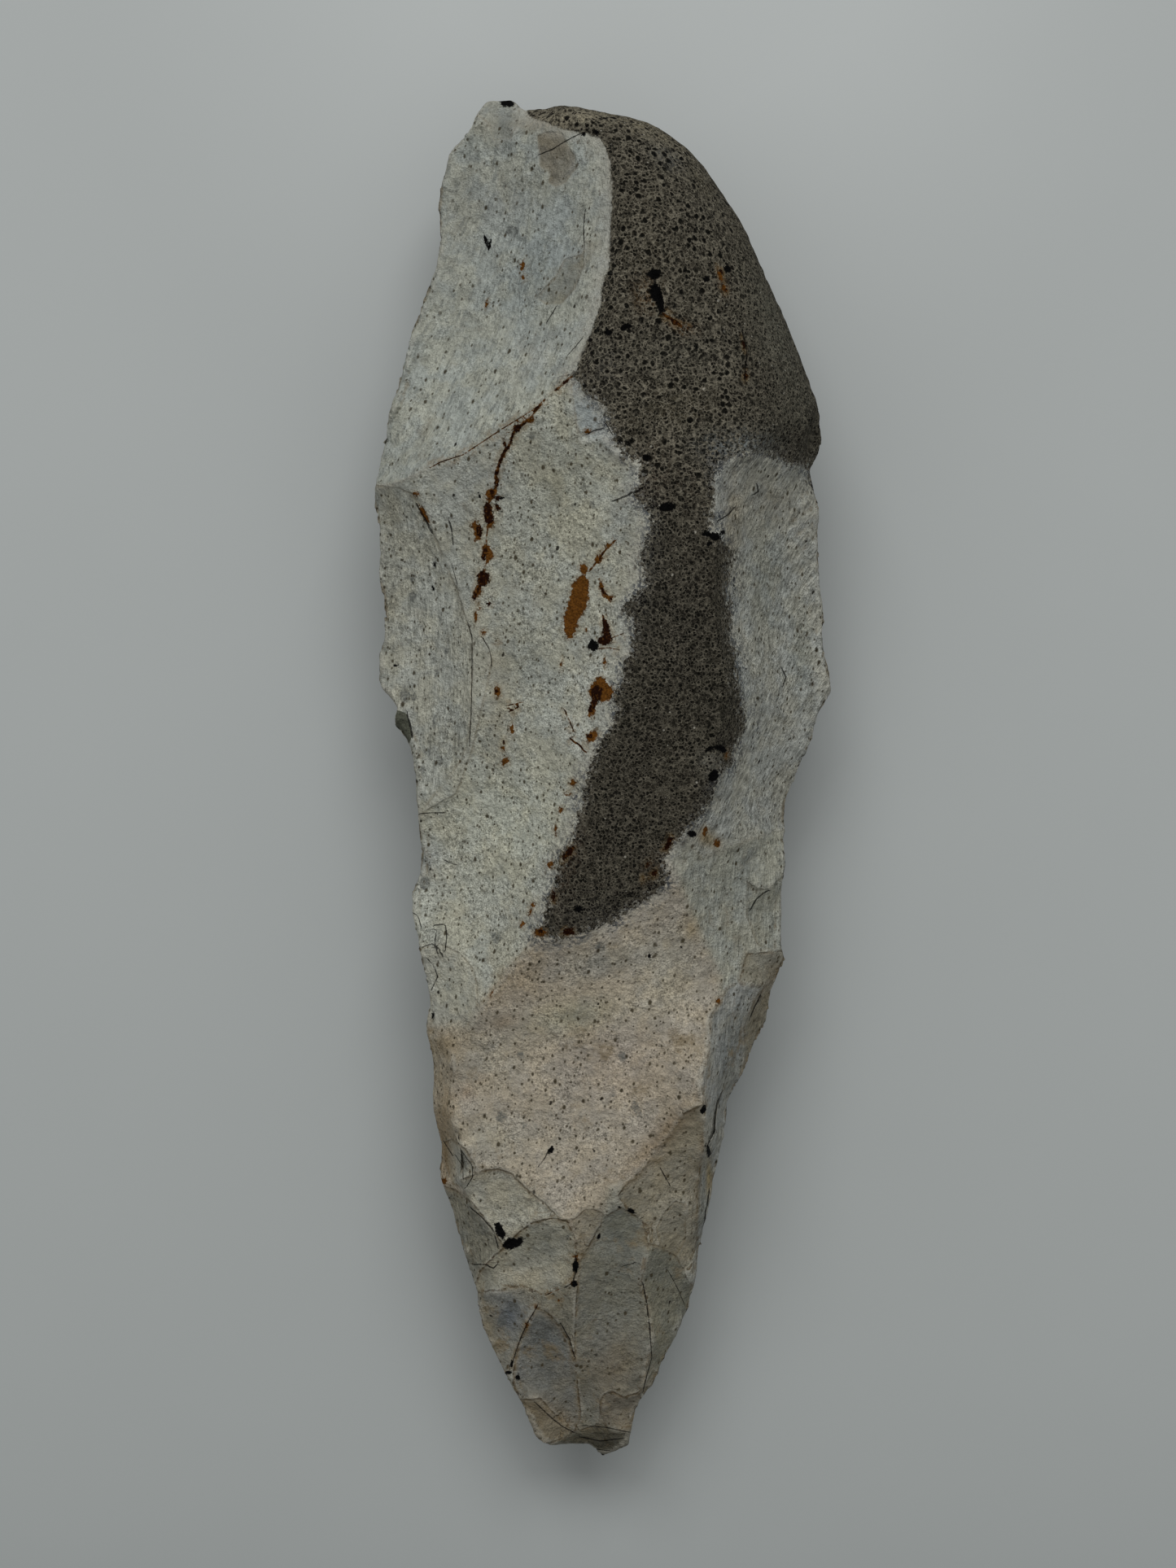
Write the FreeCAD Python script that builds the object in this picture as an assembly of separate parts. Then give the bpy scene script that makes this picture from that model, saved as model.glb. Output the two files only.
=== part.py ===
import FreeCAD, Part
import math
import os

# Flint core axe: one stone, flaked on both faces, with a band of the nodule's own rind left on it.
# +Y points to the broad butt that keeps the rind, +X to the photograph's right, +Z up from the rest face.

# Driving dimensions of the stone, in millimetres
AXE_LENGTH = 155.0
AXE_WIDTH = 52.0
AXE_THICKNESS = 31.0
EDGE_HEIGHT = 12.5
TIP_EDGE_HEIGHT = 10.0
EDGE_WAVE = 0.8
VIEW_HEIGHT = 400.0

# Radii of the hollows that the blows left, in millimetres, one for each size of flake
BROAD_RADIUS = 75.0
SIDE_RADIUS = 50.0
TIP_RADIUS = 24.0
FLUTE_RADIUS = 11.0
UNDER_RADIUS = 52.0
CHIP_RADIUS = 10.0

# Spacing of the small chips along the flaked edge and reach of a flute each way, in millimetres
CHIP_SPACING = 8.0
FLUTE_REACH = 30.0

# Flaked outline in photograph pixels, from the right shoulder down to the tip and up to the butt.
# The last four points stand clear of the rind, whose own round flank makes the outline there.
OUTLINE_PX = [
    (1012, 530), (1009, 551), (994, 578), (1007, 622), (1004, 655), (1022, 850), (976, 968),
    (975, 1006), (965, 1016), (974, 1047), (961, 1090), (959, 1160), (965, 1180), (943, 1255),
    (897, 1353), (847, 1613), (814, 1680), (803, 1717), (787, 1721), (771, 1781), (741, 1798),
    (727, 1785), (676, 1783), (661, 1773), (587, 1625), (586, 1592), (539, 1443), (542, 1420),
    (532, 1362), (531, 1300), (523, 1262), (526, 1212), (507, 1134), (505, 1094), (516, 1040),
    (513, 974), (503, 960), (503, 912), (484, 893), (488, 868), (464, 837), (460, 780),
    (468, 680), (460, 618), (474, 527), (507, 402), (538, 322), (540, 263), (535, 246),
    (552, 188), (580, 159), (588, 140), (598, 123), (629, 122), (646, 138), (724, 141),
    (800, 110), (960, 240), (1060, 440), (1040, 530),
]
RIND_CORNERS = 4

# The camera stood over this place in the outline's box, from its left and from its top
VIEW_CENTRE_SHARES = (0.467, 0.502)

# Sections of the nodule before flaking: place along the half length, left and right reach in the
# half width, bottom and top in the thickness.
NODULE_SHARES = [
    (-1.23, -1.00, 0.54, 0.13, 0.71),
    (-0.77, -1.08, 0.85, 0.07, 0.75),
    (-0.39, -1.13, 1.22, 0.01, 0.79),
    (0.13, -1.12, 1.10, -0.025, 0.95),
    (0.39, -1.10, 1.03, -0.02, 1.003),
    (0.66, -0.94, 0.805, 0.03, 0.96),
    (0.78, -0.87, 0.65, 0.05, 0.92),
    (0.89, -0.77, 0.454, 0.08, 0.84),
    (0.942, -0.71, 0.288, 0.11, 0.77),
    (0.964, -0.67, 0.135, 0.145, 0.70),
    (0.978, -0.63, -0.058, 0.19, 0.62),
    (1.03, -0.58, -0.30, 0.26, 0.55),
]
SECTION_POINTS = 8

# Scars are listed by photograph pixel, height share, downhill azimuth in degrees, fall share and
# radius share. The fall share is how far the scar would drop over half the width, in the thickness.
BROAD_SCAR_SHARES = [
    (615, 340, 0.565, 161, 0.61, 1.15),
    (655, 720, 0.765, 185, 0.43, 1.45),
    (520, 672, 0.57, 202, 0.44, 0.80),
    (620, 1040, 0.642, 185, 0.64, 1.10),
    (520, 800, 0.48, 181, 0.63, 0.70),
    (720, 1310, 0.648, 228, 0.20, 0.88),
]
SIDE_SCAR_SHARES = [
    (948, 730, 0.59, 358, 1.02, 0.95),
    (958, 900, 0.535, 345, 1.06, 1.25),
    (887, 1085, 0.64, 345, 0.74, 0.80),
    (835, 1190, 0.70, 268, 0.13, 0.50),
    (887, 1310, 0.58, 350, 1.72, 0.90),
    (550, 1215, 0.50, 190, 0.70, 0.35),
    (545, 1345, 0.50, 186, 0.80, 0.42),
]
TIP_SCAR_SHARES = [
    (612, 1475, 0.555, 225, 0.41, 0.77),
    (655, 1545, 0.516, 228, 0.41, 0.75),
    (572, 1510, 0.44, 200, 0.87, 0.85),
    (622, 1625, 0.413, 212, 0.61, 0.75),
    (805, 1450, 0.587, 310, 0.37, 1.00),
    (820, 1570, 0.458, 338, 0.70, 1.15),
    (650, 1755, 0.342, 245, 0.61, 0.46),
    (755, 1740, 0.394, 288, 0.30, 0.33),
    (612, 148, 0.47, 100, 0.75, 0.50),
]

# Long narrow flutes near the tip, listed in the same way
FLUTE_SHARES = [
    (750, 1620, 0.49, 272, 0.24, 1.10),
    (685, 1685, 0.40, 283, 0.34, 0.55),
]

# Scars of the underside, by their place in the half width and half length, and then as above
UNDER_SCAR_SHARES = [
    (-0.42, 0.78, 0.177, 150, 0.37, 1.15),
    (0.42, 0.74, 0.177, 30, 0.41, 1.05),
    (-0.58, 0.56, 0.181, 176, 0.45, 1.00),
    (-0.60, 0.24, 0.165, 184, 0.43, 1.00),
    (-0.53, 0.00, 0.171, 176, 0.47, 0.98),
    (-0.50, -0.27, 0.174, 186, 0.48, 0.90),
    (-0.46, -0.50, 0.181, 190, 0.52, 0.90),
    (-0.38, -0.71, 0.187, 200, 0.57, 0.72),
    (0.54, 0.48, 0.181, 4, 0.49, 0.95),
    (0.58, 0.22, 0.168, 358, 0.48, 1.05),
    (0.51, -0.03, 0.168, 0, 0.49, 0.96),
    (0.42, -0.24, 0.174, 352, 0.52, 0.95),
    (0.35, -0.47, 0.181, 350, 0.57, 0.80),
    (0.19, -0.67, 0.187, 346, 0.57, 0.80),
    (0.04, -0.85, 0.187, 310, 0.48, 0.64),
    (-0.27, -0.88, 0.187, 236, 0.48, 0.56),
    (-0.44, 0.96, 0.26, 95, 0.80, 0.22),
]

# Chips along the edge: how far along the half length they go, their steepness, and how unlike each
# other they are in steepness, size, spacing and, as a share of a right angle, in turn.
CHIPPED_SHARE = 0.94
CHIP_FALL_SHARE = 1.0
CHIP_FALL_RANGE_SHARE = 0.45
CHIP_RADIUS_RANGE_SHARE = 0.7
CHIP_SPACING_RANGE_SHARE = 0.6
CHIP_TURN_SHARE = 0.27
GOLDEN_SHARE = 0.618

# The tools that take material away stand this far beyond the stone, in millimetres
OVERRUN = 30.0

HALF_LENGTH = AXE_LENGTH / 2
HALF_WIDTH = AXE_WIDTH / 2


def plan_point(pixel, height):
    """Give the place of a photograph pixel at a height, as seen from straight above."""
    columns = [corner[0] for corner in OUTLINE_PX[:-RIND_CORNERS]]
    rows = [corner[1] for corner in OUTLINE_PX[:-RIND_CORNERS]]
    across_share = (pixel[0] - min(columns)) / (max(columns) - min(columns))
    down_share = (pixel[1] - min(rows)) / (max(rows) - min(rows))
    nearness = (VIEW_HEIGHT - height) / (VIEW_HEIGHT - EDGE_HEIGHT)
    view_x = (VIEW_CENTRE_SHARES[0] - 1 / 2) * AXE_WIDTH
    view_y = (1 / 2 - VIEW_CENTRE_SHARES[1]) * AXE_LENGTH
    x = view_x + (across_share - VIEW_CENTRE_SHARES[0]) * AXE_WIDTH * nearness
    y = view_y + (VIEW_CENTRE_SHARES[1] - down_share) * AXE_LENGTH * nearness
    return FreeCAD.Vector(x, y, height)


def nodule_section(y_share, left_share, right_share, bottom_share, top_share):
    """Give one closed oval section of the nodule."""
    middle_x = (left_share + right_share) / 2 * HALF_WIDTH
    middle_z = (bottom_share + top_share) / 2 * AXE_THICKNESS
    reach_x = (right_share - left_share) / 2 * HALF_WIDTH
    reach_z = (top_share - bottom_share) / 2 * AXE_THICKNESS
    points = []
    for index in range(SECTION_POINTS):
        angle = 2 * math.pi * index / SECTION_POINTS
        x = middle_x + reach_x * math.cos(angle)
        z = middle_z + reach_z * math.sin(angle)
        points.append(FreeCAD.Vector(x, y_share * HALF_LENGTH, z))
    curve = Part.BSplineCurve()
    curve.interpolate(Points=points, PeriodicFlag=True)
    return Part.Wire([curve.toShape()])


def make_nodule():
    """Make the rounded nodule that the axe was struck from."""
    sections = [nodule_section(*shares) for shares in NODULE_SHARES]
    return Part.makeLoft(sections, True, False)


def outline_points():
    """Give the outline's corners at the height of the flaked edge."""
    return [plan_point(pixel, EDGE_HEIGHT) for pixel in OUTLINE_PX]


def make_outline_prism():
    """Make the upright prism that the stone fills when seen from above."""
    corners = [FreeCAD.Vector(point.x, point.y, -OVERRUN) for point in outline_points()]
    face = Part.Face(Part.makePolygon(corners + corners[:1]))
    return face.extrude(FreeCAD.Vector(0, 0, AXE_THICKNESS + 2 * OVERRUN))


def outward_way(azimuth, fall_share, side):
    """Give the way that a scar faces; side is 1 on the upper face and -1 on the under one."""
    slope = math.atan(fall_share * AXE_THICKNESS / HALF_WIDTH)
    turn = math.radians(azimuth)
    level_reach = math.sin(slope)
    return FreeCAD.Vector(level_reach * math.cos(turn), level_reach * math.sin(turn), side * math.cos(slope))


def scar_tool(point, azimuth, fall_share, radius, side):
    """Make the ball that hollows one scar through a point."""
    return Part.makeSphere(radius, point + outward_way(azimuth, fall_share, side) * radius)


def flute_tool(point, azimuth, fall_share, radius):
    """Make the round bar that hollows one long flute through a point of the upper face."""
    outward = outward_way(azimuth, fall_share, 1)
    turn = math.radians(azimuth)
    level = FreeCAD.Vector(-math.sin(turn), math.cos(turn), 0)
    downhill = level.cross(outward)
    start = point + outward * radius - downhill * FLUTE_REACH
    return Part.makeCylinder(radius, 2 * FLUTE_REACH, start, downhill)


def upper_scars(table, size_radius):
    """Make the tools for the scars of the upper face that share one flake size."""
    tools = []
    for px, py, height_share, azimuth, fall_share, radius_share in table:
        point = plan_point((px, py), height_share * AXE_THICKNESS)
        tools.append(scar_tool(point, azimuth, fall_share, radius_share * size_radius, 1))
    return tools


def tip_flutes():
    """Make the tools for the long flutes that thin the tip."""
    tools = []
    for px, py, height_share, azimuth, fall_share, radius_share in FLUTE_SHARES:
        point = plan_point((px, py), height_share * AXE_THICKNESS)
        tools.append(flute_tool(point, azimuth, fall_share, radius_share * FLUTE_RADIUS))
    return tools


def under_scars():
    """Make the tools for the scars of the underside."""
    tools = []
    for x_share, y_share, height_share, azimuth, fall_share, radius_share in UNDER_SCAR_SHARES:
        point = FreeCAD.Vector(x_share * HALF_WIDTH, y_share * HALF_LENGTH, height_share * AXE_THICKNESS)
        tools.append(scar_tool(point, azimuth, fall_share, radius_share * UNDER_RADIUS, -1))
    return tools


def edge_places():
    """Walk along the flaked edge and give each chip's place and the way that it faces."""
    corners = outline_points()[:-RIND_CORNERS]
    places = []
    wait = 0
    for start, end in zip(corners, corners[1:]):
        run = end - start
        azimuth = math.degrees(math.atan2(run.x, -run.y))
        while wait < run.Length:
            place = start + run * (wait / run.Length)
            if abs(place.y) < CHIPPED_SHARE * HALF_LENGTH:
                places.append((place, azimuth))
            uneven = 1 + CHIP_SPACING_RANGE_SHARE * (spread(len(places), 0) - 1 / 2)
            wait = wait + CHIP_SPACING * uneven
        wait = wait - run.Length
    return places


def spread(index, phase):
    """Give an even scatter of values from 0 to 1 as the index counts up."""
    return (index * GOLDEN_SHARE + phase) % 1


def edge_height(y):
    """Give the height of the flaked edge, which sinks towards the tip."""
    tipward = max(0, -y / HALF_LENGTH)
    return EDGE_HEIGHT + (TIP_EDGE_HEIGHT - EDGE_HEIGHT) * tipward ** 2


def edge_chips(side):
    """Make the tools for the small chips that trim one face of the flaked edge."""
    tools = []
    for index, (place, azimuth) in enumerate(edge_places()):
        size = spread(index, (1 - side) / 3)
        lean = spread(index * index, (1 - side) / 5)
        height = edge_height(place.y) + EDGE_WAVE * (2 * spread(3 * index, 0) - 1)
        point = FreeCAD.Vector(place.x, place.y, height)
        radius = CHIP_RADIUS * (1 + CHIP_RADIUS_RANGE_SHARE * (size - 1 / 2))
        fall_share = CHIP_FALL_SHARE + CHIP_FALL_RANGE_SHARE * (lean - 1 / 2)
        turn = CHIP_TURN_SHARE * math.degrees(math.pi / 2) * (size - 1 / 2)
        tools.append(scar_tool(point, azimuth + turn, fall_share, radius, side))
    return tools


def rest_plane_tool():
    """Make the block below the flat face that the stone rests on."""
    reach = AXE_LENGTH + OVERRUN
    corner = FreeCAD.Vector(-reach, -reach, -OVERRUN)
    return Part.makeBox(2 * reach, 2 * reach, OVERRUN, corner)


def make_axe():
    """Flake the nodule into the axe and set its origin under the middle of its box."""
    stone = make_nodule().common(make_outline_prism())
    scars = upper_scars(BROAD_SCAR_SHARES, BROAD_RADIUS)
    scars = scars + upper_scars(SIDE_SCAR_SHARES, SIDE_RADIUS)
    scars = scars + upper_scars(TIP_SCAR_SHARES, TIP_RADIUS)
    scars = scars + tip_flutes() + under_scars()
    for scar in scars:
        stone = stone.cut(scar)
    stone = stone.cut(edge_chips(1))
    stone = stone.cut(edge_chips(-1))
    stone = stone.cut(rest_plane_tool())
    stone = max(stone.Solids, key=lambda solid: solid.Volume)
    box = stone.optimalBoundingBox()
    stone.translate(FreeCAD.Vector(-box.Center.x, -box.Center.y, -box.ZMin))
    return stone


def export_axe():
    """Write the stone to its own STEP file."""
    os.makedirs("parts", exist_ok=True)
    stone = make_axe()
    stone.exportStep("parts/flint_core_axe.step")


export_axe()
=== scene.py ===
import logging
import math
from collections.abc import Callable
from dataclasses import dataclass, field
from enum import Enum

import bmesh
import bpy
import numpy as np
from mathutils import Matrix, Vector
from mathutils.bvhtree import BVHTree

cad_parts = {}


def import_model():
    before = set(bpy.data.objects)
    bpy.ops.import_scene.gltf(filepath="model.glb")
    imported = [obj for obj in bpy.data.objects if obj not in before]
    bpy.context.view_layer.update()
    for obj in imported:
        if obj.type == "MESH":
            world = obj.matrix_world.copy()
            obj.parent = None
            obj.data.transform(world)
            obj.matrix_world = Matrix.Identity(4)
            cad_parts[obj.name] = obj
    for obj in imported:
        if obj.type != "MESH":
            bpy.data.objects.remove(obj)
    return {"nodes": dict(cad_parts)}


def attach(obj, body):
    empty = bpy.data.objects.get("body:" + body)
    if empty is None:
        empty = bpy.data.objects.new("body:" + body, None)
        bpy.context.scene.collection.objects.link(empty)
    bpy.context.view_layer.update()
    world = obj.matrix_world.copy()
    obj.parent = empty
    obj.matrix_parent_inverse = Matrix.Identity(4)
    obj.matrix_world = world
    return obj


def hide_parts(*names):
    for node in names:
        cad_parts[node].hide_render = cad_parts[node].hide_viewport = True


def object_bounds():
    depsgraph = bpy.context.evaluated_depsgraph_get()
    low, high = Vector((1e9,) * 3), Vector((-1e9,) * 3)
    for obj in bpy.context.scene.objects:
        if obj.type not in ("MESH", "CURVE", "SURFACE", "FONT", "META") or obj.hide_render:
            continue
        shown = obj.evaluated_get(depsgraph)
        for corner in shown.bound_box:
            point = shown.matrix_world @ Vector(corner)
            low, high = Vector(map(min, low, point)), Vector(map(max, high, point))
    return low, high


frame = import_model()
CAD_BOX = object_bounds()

log = logging.getLogger("flint_core_axe")

# Units and the photograph's own scale
MM = 0.001
PHOTO_PX = (1445.0, 1927.0)
PX_PER_MM = 10.8

Pixel = tuple[float, float]
Colour = tuple[int, int, int]
Tint = tuple[float, float, float, float]
Span = tuple[float, float]
Border = tuple[Pixel, ...]


class Grain(Enum):
    """The ways in which a scar's fine grain can run, as angles from +X in degrees."""

    NONE = None
    DOWN_LEFT = 68.0
    DIAGONAL = 55.0
    ALONG = 86.0


@dataclass(frozen=True)
class Scar:
    """One scar of the upper face, drawn on the photograph.

    The scars are listed in the order in which the flakes came off, so a later one cuts
    those before it.  Lengths are in millimetres, places in photograph pixels.
    """

    name: str
    colour: Colour
    border: Border
    hollow: float = 60.0
    step: float = 0.0
    soften: float = 5.0
    grain: Grain = Grain.NONE
    blow: Pixel | None = None
    ripple: float = 0.0
    ripple_length: float = 2.4
    line: float = 0.0
    stain: float = 0.0
    speckle: float = 0.5


@dataclass(frozen=True)
class Blot:
    """A soft patch of another tone: its middle, its half sizes and its tilt in degrees."""

    column: float
    row: float
    across: float
    along: float
    tilt: float
    colour: Colour
    share: float


@dataclass(frozen=True)
class Spot:
    """A small mark with an edge: its middle, its half sizes in pixels and its tilt."""

    column: float
    row: float
    across: float
    along: float
    tilt: float = 0.0


@dataclass(frozen=True)
class Vein:
    """A fine line: its places one after the other and half its width in pixels."""

    path: Border
    half_width: float


RIND = "rind"

# Borders that neighbouring scars share, each from the butt towards the tip
LONG_RIDGE = (
    (461, 596), (470, 600), (502, 589), (523, 577), (541, 568), (569, 559), (596, 543),
    (614, 529), (628, 520), (647, 509), (660, 497), (674, 486), (690, 472), (699, 465),
)
RIND_CORNER = (
    (668, 150), (690, 158), (712, 163), (736, 169), (743, 180), (749, 199), (752, 242),
    (751, 261), (750, 284), (748, 330), (741, 343), (738, 376), (725, 410), (715, 435),
    (709, 451),
)
RIND_LEFT = (
    (800, 640), (787, 680), (792, 721), (769, 747), (778, 772), (776, 799), (764, 813),
    (766, 836), (753, 857), (760, 875), (748, 898), (734, 919), (725, 939), (718, 958),
    (717, 983), (710, 1004), (700, 1038), (684, 1059), (682, 1089), (673, 1109), (664, 1130),
    (659, 1151),
)
RIND_FOOT = (
    (680, 1153), (700, 1151), (730, 1141), (767, 1121), (790, 1107), (806, 1098), (815, 1084),
    (820, 1059),
)
RIND_RIGHT = (
    (840, 1027), (860, 1000), (877, 974), (879, 960), (895, 939), (911, 910), (916, 898),
    (916, 875), (908, 850), (904, 827), (903, 799), (897, 786), (896, 756), (896, 703),
    (900, 680), (875, 650), (877, 593),
)
RIND_SHOULDER = ((881, 575), (900, 560), (925, 556), (950, 562), (990, 572))
MIDDLE_FOOT = ((641, 1173), (622, 1194), (605, 1219), (590, 1235), (575, 1262))
RIGHT_RIDGE = ((835, 1085), (850, 1125), (862, 1150), (885, 1200), (885, 1235))

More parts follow.
